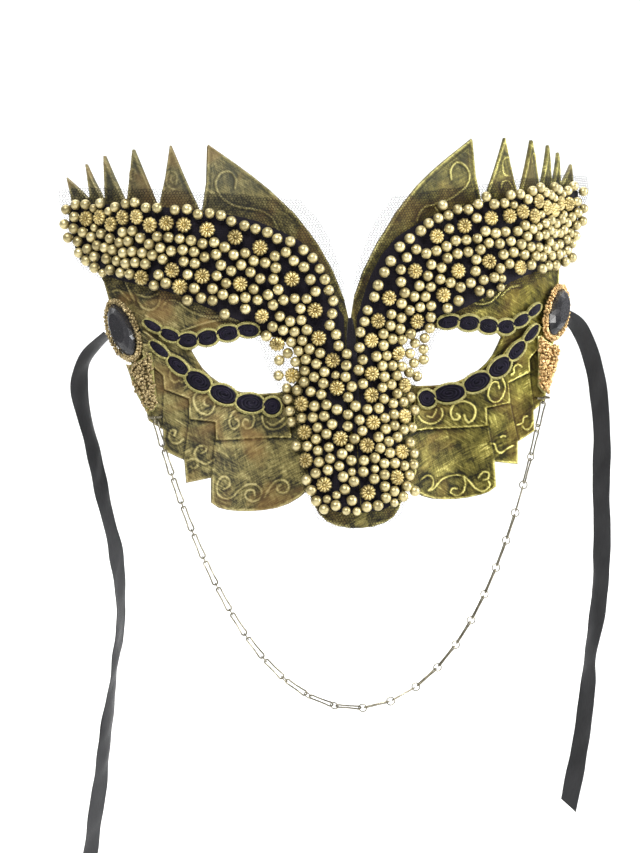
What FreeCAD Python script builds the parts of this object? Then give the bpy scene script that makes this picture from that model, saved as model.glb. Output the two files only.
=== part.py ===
import FreeCAD, Part
import math
import os

# Half mask for a masquerade, worn on ribbons tied behind the head.
# Millimetres, +Z up, the face of the mask looks along -Y, +X is the
# wearer's left (the viewer's right).  The origin is the inside of the
# nose bridge, where the moulding rests on the wearer's nose.
#
# The moulding is one curved shell.  Its front surface is the height
# table below (y over x and z, the same on both sides of x = 0), and each
# layer on it (net, cloth, braids, beads, stones) is set out from that
# surface along its normal.

doc = FreeCAD.newDocument("masquerade_mask")

# ------------------------------------------------------------ dimensions
sheet = doc.addObject("Spreadsheet::Sheet", "dims")
DIMS = [
    ("shell_wall", 1.3, "wall of the moulding"),
    ("relief_step", 1.0, "height of the raised upper cheek layer"),
    ("net_wall", 0.25, "tulle as a plain skin"),
    ("net_gap", 0.10, "glue line under the tulle"),
    ("cloth_wall", 0.45, "black bead cloth"),
    ("cloth_gap", 0.50, "cloth back face above the moulding"),
    ("bead_seat", 1.10, "back of the beads above the moulding"),
    ("flower_seat", 1.4, "back of the flower beads above the moulding"),
    ("round_bead", 3.8, "round bead diameter"),
    ("border_bead", 3.7, "border bead diameter"),
    ("small_bead", 3.1, "small filler bead diameter"),
    ("flower_bead", 5.7, "flower bead diameter"),
    ("flower_depth", 2.8, "flower bead thickness"),
    ("braid_wall", 1.7, "sequin braid thickness"),
    ("braid_gap", 0.25, "lower braid back face above the raised cheek layer"),
    ("brow_braid_gap", 1.05, "upper braid back face above the moulding, over the cloth's edge"),
    ("gem_long", 21.0, "temple stone length"),
    ("gem_wide", 9.0, "temple stone width"),
    ("gem_deep", 4.8, "temple stone height"),
    ("gem_seat", 0.9, "temple stone back above the moulding"),
    ("gem_lean_left", 33.0, "lean of the left stone's long axis, degrees"),
    ("gem_lean_right", 42.0, "lean of the right stone's long axis, degrees"),
    ("dot_bead", 2.1, "stone border bead diameter"),
    ("fringe_wall", 1.9, "seed bead fringe thickness"),
    ("fringe_gap", 0.35, "fringe back above the moulding"),
    ("tab_wall", 1.0, "ribbon patch thickness"),
    ("tab_gap", 0.25, "glue line of the ribbon patch"),
    ("ribbon_tube", 3.0, "section of the plain ribbon solid"),
    ("eye_wire", 0.8, "chain staple wire"),
    ("eye_span", 4.2, "chain staple width"),
    ("eye_reach", 3.6, "staple bar in front of the moulding"),
    ("link_wire", 0.6, "chain link wire"),
    ("link_wide", 2.5, "chain link width at its wide end"),
    ("ring_radius", 1.42, "chain ring centreline radius"),
    ("ring_wire", 0.44, "chain ring wire"),
    ("trim_depth", 130.0, "length of the trimming prisms along Y"),
    ("trim_back", 95.0, "where the trimming prisms start, behind the mask"),
    ("piping_wall", 0.5, "velvet nose ribbon thickness"),
]
for i, (alias, value, note) in enumerate(DIMS, start=1):
    sheet.set("A%d" % i, note)
    sheet.set("B%d" % i, str(value))
    sheet.setAlias("B%d" % i, alias)

# height table of the front surface: rows are z stations, columns x
X_ST = [0, 8, 16, 26, 38, 50, 62, 74, 86, 98, 110]
Z_ST = [-76, -62, -49, -36, -23, -10, 4, 20, 36, 54, 72, 92]
Y_ST = [
    [-10.77, -9.89, -7.23, -2.84, 0.16, -0.79, -0.80, 1.62, 6.02, 12.13, 19.27],
    [-9.85, -8.97, -6.29, -1.75, 1.26, -0.69, -0.43, 2.29, 6.95, 13.36, 20.71],
    [-8.53, -7.68, -5.11, -0.61, 1.64, -0.99, 0.02, 2.89, 7.86, 14.70, 22.40],
    [-6.29, -5.52, -2.73, 1.57, 2.01, -0.47, 0.42, 3.42, 8.83, 16.42, 24.58],
    [-3.82, -2.74, 0.51, 5.31, 3.20, 0.61, 1.47, 3.61, 10.19, 18.76, 27.49],
    [-1.90, -0.76, 2.40, 7.06, 4.11, 1.42, 2.65, 4.60, 12.47, 22.05, 31.22],
    [-1.11, -0.26, 1.83, 4.06, 2.84, 1.84, 3.50, 7.12, 16.20, 26.61, 35.87],
    [-0.50, -0.55, 0.01, 1.01, 1.15, 1.62, 4.27, 10.52, 21.61, 32.01, 40.67],
    [-1.94, -2.03, -1.67, 0.06, 1.48, 2.47, 5.28, 12.79, 24.91, 34.20, 43.04],
    [-2.31, -2.16, -1.27, 1.68, 3.26, 3.72, 6.12, 13.56, 26.14, 34.74, 46.93],
    [-0.70, -0.34, 0.89, 3.09, 3.91, 3.89, 6.75, 15.13, 29.67, 45.30, 57.21],
    [1.13, 1.44, 2.38, 3.76, 4.39, 4.96, 8.76, 18.37, 33.89, 50.91, 64.94],
]
stations = doc.addObject("Spreadsheet::Sheet", "surface_stations")
for r, row in enumerate(Y_ST, start=1):
    for c, value in enumerate(row):
        stations.set("%s%d" % (chr(65 + c), r), str(value))
doc.recompute()


def dim(alias):
    return float(getattr(sheet, alias))


for r in range(len(Z_ST)):
    for c in range(len(X_ST)):
        Y_ST[r][c] = float(stations.get("%s%d" % (chr(65 + c), r + 1)))


# ------------------------------------------------------------ the surface
def second(xs, ys, clamp):
    """Second derivatives of a cubic spline, natural ends, or slope 0 at the start."""
    n = len(xs)
    a, b, c, d = [0.0] * n, [1.0] * n, [0.0] * n, [0.0] * n
    for i in range(1, n - 1):
        h0, h1 = xs[i] - xs[i - 1], xs[i + 1] - xs[i]
        a[i], b[i], c[i] = h0, 2 * (h0 + h1), h1
        d[i] = 6 * ((ys[i + 1] - ys[i]) / h1 - (ys[i] - ys[i - 1]) / h0)
    if clamp:
        h = xs[1] - xs[0]
        b[0], c[0], d[0] = 2 * h, h, 6 * (ys[1] - ys[0]) / h
    for i in range(1, n):
        w = a[i] / b[i - 1]
        b[i] -= w * c[i - 1]
        d[i] -= w * d[i - 1]
    m = [0.0] * n
    m[-1] = d[-1] / b[-1]
    for i in range(n - 2, -1, -1):
        m[i] = (d[i] - c[i] * m[i + 1]) / b[i]
    return m


def value(xs, ys, m, x):
    x = min(max(x, xs[0] - 6), xs[-1] + 6)
    i = 0
    while i < len(xs) - 2 and x > xs[i + 1]:
        i += 1
    h = xs[i + 1] - xs[i]
    p, q = (xs[i + 1] - x) / h, (x - xs[i]) / h
    return p * ys[i] + q * ys[i + 1] + ((p ** 3 - p) * m[i] + (q ** 3 - q) * m[i + 1]) * h * h / 6


COLS = [[Y_ST[r][c] for r in range(len(Z_ST))] for c in range(len(X_ST))]
COL_M = [second(Z_ST, col, False) for col in COLS]
_row = {}


def height(x, z):
    """y of the moulding's front surface."""
    key = round(z, 4)
    if key not in _row:
        ys = [value(Z_ST, COLS[c], COL_M[c], z) for c in range(len(X_ST))]
        _row[key] = (ys, second(X_ST, ys, True))
    ys, m = _row[key]
    return value(X_ST, ys, m, abs(x))


def normal(x, z):
    e = 0.2
    fx = (height(x + e, z) - height(x - e, z)) / (2 * e)
    fz = (height(x, z + e) - height(x, z - e)) / (2 * e)
    v = FreeCAD.Vector(fx, -1.0, fz)
    return v.normalize()


def point(x, z, off):
    """A point off the front surface, along the outward normal."""
    return FreeCAD.Vector(x, height(x, z), z) + normal(x, z) * off


def slab(x0, x1, z0, z1, off0, off1, step):
    """A solid between two offsets of the front surface."""
    nx = max(5, int(round((x1 - x0) / step)) + 1)
    nz = max(5, int(round((z1 - z0) / step)) + 1)
    faces, edges = [], []
    for off in (off0, off1):
        rows = []
        for i in range(nx):
            x = x0 + (x1 - x0) * i / (nx - 1)
            rows.append([point(x, z0 + (z1 - z0) * j / (nz - 1), off) for j in range(nz)])
        surface = Part.BSplineSurface()
        surface.interpolate(rows)
        face = surface.toShape()
        faces.append(face)
        edges.append([surface.uIso(surface.bounds()[0]), surface.uIso(surface.bounds()[1]),
                      surface.vIso(surface.bounds()[2]), surface.vIso(surface.bounds()[3])])
    for a, b in zip(edges[0], edges[1]):
        faces.append(Part.makeRuledSurface(a.toShape(), b.toShape()))
    shell = Part.Shell(Part.makeShell(faces).Faces)
    shell.sewShape()
    solid = Part.Solid(shell)
    if solid.Volume < 0:
        solid = solid.reversed()
    return solid


# ------------------------------------------------------------ outlines (x, z)
def mirror(points):
    return [(-x, z) for x, z in points]


OUTLINE_HALF = [
    (0, 8.8), (1.9, 18.5), (5.3, 27.6), (10.5, 37.3), (18.0, 47.8), (26.5, 57.0), (32.0, 61.9), (38.0, 66.6),
    (46.4, 72.7), (47.2, 73.3), (47.7, 72.6), (48.6, 60.0), (50.4, 50.8), (51.1, 50.8),
    (55.9, 62.4), (60.1, 73.4), (60.6, 73.4), (62.6, 62.8), (64.9, 53.8), (65.8, 53.4),
    (69.3, 63.0), (72.7, 72.9), (73.2, 72.9), (74.7, 63.0), (75.9, 55.0), (76.5, 55.0),
    (79.9, 64.0), (82.5, 71.6), (82.9, 71.6), (83.1, 64.0), (83.2, 56.6), (83.8, 56.6),
    (86.6, 63.4), (88.8, 69.3), (89.2, 69.2), (88.7, 63.0), (88.3, 57.4), (88.9, 57.3),
    (92.4, 61.6), (95.7, 65.2), (96.0, 64.9), (95.2, 60.0), (94.6, 55.9),
    (95.9, 53.6), (95.2, 46.0), (94.0, 39.5), (92.4, 33.7), (90.4, 32.7), (88.3, 31.8), (86.4, 30.0), (84.9, 26.5),
    (83.6, 20.5), (82.6, 14.0), (80.6, 7.0), (77.8, -0.5), (75.2, -8.5), (73.6, -15.5), (72.4, -22.0),
    (67.5, -25.4), (67.7, -32.7), (60.7, -36.3), (60.4, -44.4), (51.5, -42.9), (51.9, -51.8),
    (49.2, -53.8), (45.6, -55.0), (41.5, -55.8), (37.4, -56.1), (33.0, -55.9), (28.6, -55.2), (24.8, -53.8), (21.2, -51.6), (17.8, -48.7),
    (16.6, -53.0), (14.6, -57.2), (12.2, -59.8), (9.0, -61.4), (5.0, -62.3), (0, -62.6),
]
OUTLINE = OUTLINE_HALF + [(-x, z) for x, z in OUTLINE_HALF[-2:0:-1]]

EYE = [
    (56.2, 1.9), (55.0, -0.4), (52.6, -4.4), (50.0, -7.2), (46.9, -9.6), (43.2, -11.8), (39.4, -13.4), (35.4, -14.4),
    (30.6, -14.7), (25.6, -14.6), (21.6, -13.6), (19.2, -10.8), (18.4, -6.6), (18.9, -1.8), (21.0, 2.0), (25.0, 4.6),
    (30.0, 5.8), (36.0, 6.1), (42.0, 5.9), (48.0, 5.2), (52.6, 4.2), (55.0, 3.2),
]
CHEEK_LAYER = [
    (21.6, -30.8), (49.5, -29.8), (49.3, -23.4), (58.1, -22.0), (57.9, -14.8), (66.4, -11.2), (66.4, -6.5), (71.6, -1.4),
    (74.8, 5.0), (70.6, 4.6), (64.0, 2.0), (59.0, -0.8), (55.2, -5.0), (51.0, -9.2), (46.0, -12.4), (40.6, -14.9),
    (34.0, -16.3), (26.8, -16.4), (23.4, -19.2), (22.2, -25.0),
]
# bead cloth: under the beads of each half, down to the nose tip
CLOTH = [
    (2.3, 11.5), (3.6, 14.0), (5.2, 19.0), (8.0, 26.4), (12.0, 33.2), (17.2, 39.0), (23.5, 42.4), (31.0, 46.0), (38.0, 48.0),
    (50.0, 50.2), (64.0, 52.2), (76.0, 53.6), (88.0, 54.8), (95.4, 54.4), (95.2, 47.0), (93.4, 38.8), (91.2, 33.6),
    (86.5, 30.2), (79.0, 27.2), (69.0, 24.4), (60.0, 21.6), (50.0, 16.6), (40.0, 12.2), (33.0, 8.8), (27.6, 6.2), (22.6, 4.2),
    (18.6, 1.2), (16.9, -3.0), (16.6, -8.0), (17.6, -13.0), (18.4, -22.0), (17.6, -34.0), (17.0, -46.0), (15.4, -51.0),
    (12.4, -54.8), (8.0, -56.6), (0.2, -57.2), (0.2, -31.6), (2.3, -31.6),
]
# tulle: over the feet of the spikes, past both edges of the cloth
NET = [
    (2.3, 13.0), (3.0, 22.0), (6.0, 31.6), (11.0, 41.6), (18.6, 50.2), (27.0, 54.4), (38.0, 56.2), (50.0, 57.0),
    (64.0, 58.4), (76.0, 59.6), (88.0, 60.6), (99.0, 60.4), (98.6, 54.0), (96.4, 44.0), (94.0, 35.6), (92.0, 31.6), (86.0, 27.6), (79.0, 23.6),
    (69.0, 20.4), (60.0, 18.2), (50.0, 12.6), (40.0, 9.2), (35.4, 7.4), (31.8, 2.4), (30.2, -3.4), (28.0, -9.0), (25.0, -14.6),
    (22.4, -18.0), (21.4, -26.0), (20.4, -36.0), (19.6, -46.0), (18.2, -53.4), (15.2, -59.6), (11.0, -62.6), (2.3, -63.4),
]
PIPING_HALF = [(0, 11.2), (0.7, 11.2), (1.6, 5.0), (1.9, -6.0), (1.9, -22.0), (1.5, -28.6), (0, -30.0)]
PIPING = PIPING_HALF + [(-x, z) for x, z in PIPING_HALF[-2:0:-1]]
FRINGE = [
    (69.6, 1.4), (71.2, 1.4), (72.4, 0.0), (73.4, -0.9), (75.0, -1.8), (76.8, -2.6), (78.2, -2.4), (77.4, -5.0), (76.6, -8.4),
    (75.2, -13.0), (72.4, -19.2), (70.4, -18.9), (68.7, -16.4), (69.4, -8.0), (69.4, -2.0),
]
TAB = [(74.0, 3.2), (83.4, 5.2), (83.4, 13.6), (74.0, 12.4)]
UPPER_OVALS = [(36.4, 8.5, 8.2, 4.8, 4), (43.6, 7.7, 8.0, 5.6, -4), (50.6, 6.3, 7.6, 5.6, -10), (57.2, 5.6, 7.2, 5.4, 0),
               (63.2, 7.6, 7.2, 4.2, 24), (68.6, 10.8, 6.8, 3.2, 34)]
LOWER_OVALS = [(28.2, -19.6, 8.0, 6.6, -3), (36.8, -17.7, 11.2, 6.8, 12), (46.2, -13.9, 10.0, 6.6, 28), (54.4, -8.8, 9.6, 6.4, 36),
               (61.0, -3.2, 9.0, 4.8, 42), (67.0, 2.6, 8.0, 3.4, 44)]


def scallop_prism(name, ovals):
    """A row of touching ovals joined by short webs, padded through the mask."""
    blocks = []
    push = FreeCAD.Vector(0, -dim("trim_depth"), 0)
    back = dim("trim_back")
    for cx, cz, w, h, lean in ovals:
        pts = []
        a = math.radians(lean)
        for k in range(20):
            t = 2 * math.pi * k / 20
            u, v = 0.53 * w * math.cos(t), 0.53 * h * math.sin(t)
            pts.append(FreeCAD.Vector(cx + u * math.cos(a) - v * math.sin(a), back, cz + u * math.sin(a) + v * math.cos(a)))
        blocks.append(Part.Face(Part.makePolygon(pts + [pts[0]])).extrude(push))
    for (x0, z0, w0, h0, l0), (x1, z1, w1, h1, l1) in zip(ovals, ovals[1:]):
        d = math.hypot(x1 - x0, z1 - z0)
        nx, nz = -(z1 - z0) / d * 1.3, (x1 - x0) / d * 1.3
        q = [(x0 + nx, z0 + nz), (x1 + nx, z1 + nz), (x1 - nx, z1 - nz), (x0 - nx, z0 - nz)]
        pts = [FreeCAD.Vector(x, back, z) for x, z in q]
        blocks.append(Part.Face(Part.makePolygon(pts + [pts[0]])).extrude(push))
    ob = doc.addObject("Part::Feature", name + "_prism")
    ob.Shape = blocks[0].fuse(blocks[1:])
    return ob


# ------------------------------------------------------------ document helpers
def profile(name, polygons):
    """A sketch in the XZ plane at the back, and the prism padded from it towards the front."""
    sk = doc.addObject("Sketcher::SketchObject", name + "_outline")
    sk.Placement = FreeCAD.Placement(FreeCAD.Vector(0, dim("trim_back"), 0),
                                     FreeCAD.Rotation(FreeCAD.Vector(1, 0, 0), 90))
    sk.setExpression("Placement.Base.y", "dims.trim_back * 1 mm")
    lines = []
    for pts in polygons:
        for (x0, z0), (x1, z1) in zip(pts, pts[1:] + pts[:1]):
            lines.append(Part.LineSegment(FreeCAD.Vector(x0, z0, 0), FreeCAD.Vector(x1, z1, 0)))
    sk.addGeometry(lines, False)
    ex = doc.addObject("Part::Extrusion", name + "_prism")
    ex.Base = sk
    ex.DirMode = "Normal"
    ex.Solid = True
    ex.setExpression("LengthFwd", "dims.trim_depth * 1 mm")
    return ex


def box_of(points, margin):
    xs, zs = [p[0] for p in points], [p[1] for p in points]
    return min(xs) - margin, max(xs) + margin, min(zs) - margin, max(zs) + margin


def braid(name, ovals, off0, off1):
    xs, zs = [o[0] for o in ovals], [o[1] for o in ovals]
    sl = doc.addObject("Part::Feature", name + "_slab")
    sl.Shape = slab(min(xs) - 11, max(xs) + 11, min(zs) - 9, max(zs) + 9, off0, off1, 3.0)
    ob = doc.addObject("Part::Common", name)
    ob.Base = sl
    ob.Tool = scallop_prism(name, ovals)
    ob.Label = name
    return ob


def layer(name, points, off0, off1, step=4.0, margin=5.0):
    """A piece lying on the moulding: the slab between two offsets, inside an outline."""
    sl = doc.addObject("Part::Feature", name + "_slab")
    sl.Shape = slab(*box_of(points, margin), off0, off1, step)
    ob = doc.addObject("Part::Common", name)
    ob.Base = sl
    ob.Tool = profile(name, [points])
    ob.Label = name
    return ob


def feature(name, shape):
    ob = doc.addObject("Part::Feature", name)
    ob.Shape = shape
    ob.Label = name
    return ob


NODES = []

# ------------------------------------------------------------ moulding
wall = dim("shell_wall")
base_slab = doc.addObject("Part::Feature", "shell_slab")
base_slab.Shape = slab(-103, 103, -69, 79, 0.0, -wall, 4.0)
blank = doc.addObject("Part::Common", "shell_blank")
blank.Base = base_slab
blank.Tool = profile("shell", [OUTLINE])
eyes = doc.addObject("Part::Cut", "shell_with_eyes")
eyes.Base = blank
eyes.Tool = profile("eye_openings", [EYE, mirror(EYE)])
cheeks = []
for side, pts in (("right", CHEEK_LAYER), ("left", mirror(CHEEK_LAYER))):
    sl = doc.addObject("Part::Feature", "cheek_slab_" + side)
    sl.Shape = slab(*box_of(pts, 5.0), dim("relief_step"), -0.5 * wall, 4.0)
    ck = doc.addObject("Part::Common", "cheek_layer_" + side)
    ck.Base = sl
    ck.Tool = profile("cheek_" + side, [pts])
    cheeks.append(ck)
shell = doc.addObject("Part::MultiFuse", "mask_shell")
shell.Shapes = [eyes] + cheeks
shell.Label = "mask_shell"
NODES.append(shell)

# ------------------------------------------------------------ cloth layers
for side, sign in (("right", 1), ("left", -1)):
    f = (lambda p: p) if sign > 0 else mirror
    NODES.append(layer("tulle_" + side, f(NET), dim("net_gap") + dim("net_wall"), dim("net_gap")))
    NODES.append(layer("bead_cloth_" + side, f(CLOTH), dim("cloth_gap") + dim("cloth_wall"), dim("cloth_gap")))
    NODES.append(layer("seed_fringe_" + side, f(FRINGE), dim("relief_step") + dim("fringe_gap") + dim("fringe_wall"),
                       dim("relief_step") + dim("fringe_gap"), 3.0))
    NODES.append(braid("upper_braid_" + side, [(sign * o[0], o[1], o[2], o[3], sign * o[4]) for o in UPPER_OVALS],
                       dim("brow_braid_gap") + dim("braid_wall"), dim("brow_braid_gap")))
    NODES.append(braid("lower_braid_" + side, [(sign * o[0], o[1], o[2], o[3], sign * o[4]) for o in LOWER_OVALS],
                       dim("relief_step") + dim("braid_gap") + dim("braid_wall"), dim("relief_step") + dim("braid_gap")))
    NODES.append(layer("ribbon_patch_" + side, f(TAB), -wall - dim("tab_gap"), -wall - dim("tab_gap") - dim("tab_wall"), 3.0))
NODES.append(layer("velvet_nose_ribbon", PIPING, dim("cloth_gap") + dim("piping_wall"), dim("cloth_gap"), 3.0))

# ------------------------------------------------------------ beads
BEADS = {
    "border_beads_left": [
        (-82.4, 54.4), (-87.8, 54.1), (-91.5, 54), (-71.4, 54), (-74.2, 53.8), (-77.5, 52.8), (-95, 52.5), (-68, 52), (-64.7, 51.8),
        (-55.3, 50.9), (-59.2, 50.8), (-47.9, 49.2), (-51.8, 49), (-44.1, 48.3), (-16.1, 35.8), (-13.1, 33), (-10.8, 29.2), (-9.1, 25.4),
        (-7.7, 21.5), (-6.2, 17.6),
    ],
    "border_beads_right": [
        (79.5, 55.5), (91, 55.5), (72, 55.2), (82.3, 54.6), (87.8, 54.1), (68.6, 54), (74.8, 53.5), (96, 53.5), (63.6, 52.9),
        (60, 52.6), (77.5, 52.6), (50.9, 52.2), (66.5, 51), (57.5, 49.7), (47.8, 49.5), (34.7, 49.4), (53.7, 49.4), (40.2, 47.8),
        (44.2, 47.7), (36.6, 45.8), (32.6, 44.8), (5.8, 13.7), (4.4, 9.7), (2.7, 6),
    ],
    "brow_beads_left": [
        (-92.3, 50), (-95.8, 47.7), (-92.7, 46.1), (-40.6, 46.1), (-89.4, 44.6), (-36, 44.4), (-72.5, 44.2), (-75.4, 43.9), (-82.8, 43.7),
        (-94.7, 43.1), (-32.1, 43.1), (-86.4, 42.7), (-79.8, 41.9), (-64.9, 41.8), (-27.9, 41.8), (-70.2, 41.6), (-91.5, 41.5), (-61.5, 41.4),
        (-58, 40.7), (-73.9, 40.6), (-76.7, 40.3), (-54.4, 40), (-24.6, 39.6), (-84.4, 39.5), (-67.5, 39.3), (-46.8, 39), (-50.7, 38.7),
        (-20.2, 38.7), (-81.6, 38.6), (-87.9, 38.5), (-64.1, 37.9), (-79, 37.8), (-91.1, 37.4), (-43.3, 37.2), (-72.7, 36.9), (-57.2, 36.8),
        (-75.6, 36.6), (-60.8, 36.6), (-69.8, 36.3), (-53.6, 36), (-85.5, 35.6), (-66.7, 35.4), (-21.9, 35.1), (-36.3, 35), (-46.4, 34.8),
        (-81.2, 34.6), (-40.3, 34.5), (-88.5, 34.3), (-50.2, 34.1), (-63.6, 33.9), (-78, 33.8), (-25.8, 33.8), (-72, 33), (-57.1, 32.8),
        (-75, 32.7), (-69, 32.4), (-33.4, 32.3), (-19.4, 32.2), (-53.5, 32), (-29.4, 31.6), (-85.5, 31.5), (-44.9, 31.1), (-37.9, 31),
        (-80.4, 30.6), (-16.1, 30), (-25.7, 29.9), (-77, 29.5), (-41.5, 29.1), (-74.1, 28.9), (-65.2, 28.5), (-34.8, 28.5), (-56, 28.3),
        (-46.5, 27.5), (-31.5, 26.3), (-26.8, 26.1), (-14, 25.6), (-63, 25.5), (-43.5, 24.9), (-66.9, 24.8), (-54.1, 23.5), (-48.1, 23.2),
        (-34, 22.8), (-25.2, 22.5), (-12.3, 21.4), (-44.8, 21.1), (-29, 20.8), (-52, 20.2), (-37.1, 20), (-56.5, 19.5), (-41.2, 19.5),
        (-48.3, 19.2), (-19.4, 19.2), (-32.8, 19.1), (-15.3, 19), (-23.4, 18.9), (-27.3, 17.3), (-37.3, 16.1), (-17.4, 15.6), (-44.5, 14.5),
        (-24.8, 13.3), (-6.6, 13), (-17, 11.6), (-21, 11.4), (-27.6, 9.8), (-7.4, 9), (-23.5, 8.4), (-15, 7.9), (-19.3, 7.6),
        (-30.1, 6.7), (-5.3, 5.6), (-16.5, 4.3), (-20.4, 4), (-4.6, 1.6), (-14, 1),
    ],
    "brow_beads_right": [
        (92.4, 50), (95.6, 47.6), (92.5, 46.1), (47, 44.5), (89.3, 44.5), (82.8, 43.7), (76.8, 43.4), (28.7, 43.2), (94.7, 43.1),
        (86.4, 42.3), (73.8, 42.2), (79.9, 42.1), (64.9, 41.6), (91.5, 41.5), (36.5, 41), (25.4, 40.7), (68, 40.2), (49.9, 39.8),
        (62, 39.6), (76, 39.6), (84.1, 39.6), (57.4, 39.5), (53.7, 39), (87.9, 38.5), (78.7, 38.4), (81.4, 38.4), (21.1, 38.3),
        (73.4, 38.1), (70.5, 37.6), (65.6, 37.5), (91.1, 37.4), (46.8, 37.3), (42.8, 36.9), (38.8, 36.8), (59.2, 36), (85.5, 35.9),
        (17.6, 35.7), (51.1, 35.6), (75.7, 35.4), (54.9, 35.2), (35.2, 34.9), (63.1, 34.8), (23.6, 34.5), (81.3, 34.3), (88.4, 34.3),
        (66.9, 33.8), (31.4, 33.6), (78.3, 33.6), (70.5, 33.5), (47.8, 33.4), (27.4, 32.9), (43.2, 32.7), (74, 32.4), (39.3, 32.2),
        (20, 32), (60, 32), (85.5, 31.8), (56.2, 31.4), (14.4, 31), (64.4, 31), (35.4, 30.9), (80.4, 30.5), (68.8, 30.3),
        (76.6, 30.2), (46.1, 29.9), (71.9, 29.8), (29.3, 29), (88, 29), (58.3, 28), (18, 27.9), (33.2, 27.7), (84, 27.5),
        (12.1, 27.2), (66.8, 27.2), (74.5, 26.5), (78.5, 26.5), (54.9, 26.4), (45.7, 25.9), (71.5, 25.5), (28, 25.2), (32.7, 23.8),
        (18, 23.6), (52.4, 23.4), (9.8, 22.7), (48.6, 22.7), (36.6, 22.4), (24.8, 22), (43.9, 21.9), (29.3, 21.4), (40.2, 20.6),
        (19.3, 19.8), (47, 19), (8.3, 18.5), (23, 18.3), (27.2, 18.1), (18.1, 16), (39.5, 16), (29.5, 14.8), (25.3, 14.5),
        (35.6, 13.6), (21.2, 13.5), (14.2, 12.2), (17.9, 10.9), (29.4, 10.9), (13.6, 8.1), (29.2, 7), (17.2, 6.9), (10.7, 5.2),
        (21.5, 5.1), (27.3, 3.6), (14, 3.3), (17.8, 3), (23.1, 1.8), (10.6, 1.1),
    ],
    "nose_beads_left": [
        (-17.6, 0.6), (-21.5, 0.1), (-10.5, -0.7), (-2, -1.4), (-24.7, -2.2), (-15.1, -2.7), (-18.6, -3.3), (-11.8, -4.5), (-2.3, -5.5),
        (-15.4, -6.8), (-9.3, -7.5), (-24.8, -8), (-12.6, -9.2), (-2.7, -9.6), (-15.7, -11), (-9.8, -11.7), (-21.5, -13.1), (-0.9, -13.2),
        (-18, -14), (-13.8, -14.5), (-10.6, -15.7), (-2.3, -17), (-21.3, -17.3), (-9.2, -19.4), (-12.9, -19.8), (-0.1, -20.2), (-6, -21.2),
        (-21, -21.6), (-2.7, -23.1), (-10.2, -23.4), (-13.7, -23.8), (-17.1, -24), (-20.7, -25.5), (-7.9, -26.3), (-3, -27.1), (-12.5, -27.4),
        (-9.9, -29.7), (-13.2, -31.4), (-1.2, -31.6), (-19.8, -33.8), (-16.2, -33.8), (-9.5, -34.2), (-13, -35.3), (-5.6, -36.6), (-9.4, -38.1),
        (-2.7, -39), (-12.9, -39.2), (-6.7, -40.7), (-10.3, -41.9), (-14.2, -43), (-5.7, -44.4), (-17.3, -45.2), (-2.3, -46.2), (-5.3, -48.7),
        (-16, -48.8), (-14.6, -52.4), (-3.3, -52.6), (-8.5, -54.1), (-12.2, -55.3),
    ],
    "nose_beads_right": [
        (2.2, 0.6), (26.9, -0.3), (20.8, -2), (11.6, -2.7), (7.9, -2.8), (3.1, -3.7), (27.2, -4.3), (22.4, -5.6), (9.8, -6.3),
        (13.5, -6.4), (17.1, -6.9), (1.6, -7.4), (19.9, -9.2), (14.9, -10.2), (10.3, -10.3), (23.5, -10.9), (2.7, -12.4), (12.7, -13.3),
        (9.4, -14.2), (14.6, -16.8), (9.7, -18.3), (19.9, -18.8), (16.8, -20.1), (12.9, -20.2), (7.6, -21.5), (3.7, -21.6), (21.5, -23.5),
        (12.9, -24.2), (0.9, -25.1), (9.6, -25.1), (12.9, -28.1), (1.6, -29), (9.6, -29), (19.8, -29.6), (16.2, -29.9), (6.9, -31.5),
        (13.6, -32.2), (10.3, -33.4), (18.4, -34.6), (7.3, -35.4), (10.5, -37.3), (19.6, -38.4), (5.2, -38.6), (1.5, -39.2), (8.4, -40.7),
        (12, -41), (15.5, -42.2), (19.1, -42.2), (1, -43.1), (8.2, -44.6), (4.6, -45.7), (17.3, -45.7), (8, -48.6), (16, -49.3),
        (11.3, -50.5), (19.1, -51.3), (8.2, -52.5), (14.4, -52.7), (5.3, -54.9), (1.5, -55.1),
    ],
}

FLOWERS = {
    "brow_flowers_left": [
        (-83, 49.5), (-88, 49.3), (-75.4, 49), (-71.1, 49), (-79.3, 46.9), (-62, 46.4), (-67.1, 46), (-56.6, 45.5), (-49, 43.5),
        (-39.5, 40.5), (-30.9, 36.7), (-60.9, 30), (-70.6, 27.6), (-51.3, 27.6), (-20.3, 26), (-38.6, 24.6), (-58.7, 24.2), (-12.4, 14.7),
        (-31.5, 13.5), (-11, 4.7), (-25.8, 3.7),
    ],
    "brow_flowers_right": [
        (71.3, 50.4), (83.1, 49.6), (88.1, 49.3), (75.3, 48), (79.3, 47.1), (64.4, 46.6), (59.3, 45.1), (69.2, 45), (52.4, 44.5),
        (42.4, 41.9), (31.7, 38.6), (50.9, 29.1), (23.2, 27.2), (62.6, 26.5), (39.5, 26.3), (34, 18.3), (13.6, 18), (9.2, 9.9),
        (24.2, 9.6), (6.4, 3),
    ],
    "nose_flowers": [
        (16.1, -2), (-6.6, -3.5), (-19.5, -8.3), (6, -8.9), (-5.6, -13.5), (17.9, -14), (5.4, -16.6), (-16.9, -18.9), (17.1, -25.2),
        (5.4, -26.3), (-16.7, -29), (-5.7, -31.3), (2.9, -34.1), (15, -37.3), (-17.2, -38.6), (12.6, -45.9), (-11.8, -46.9), (2.2, -50.2),
    ],
}

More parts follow.
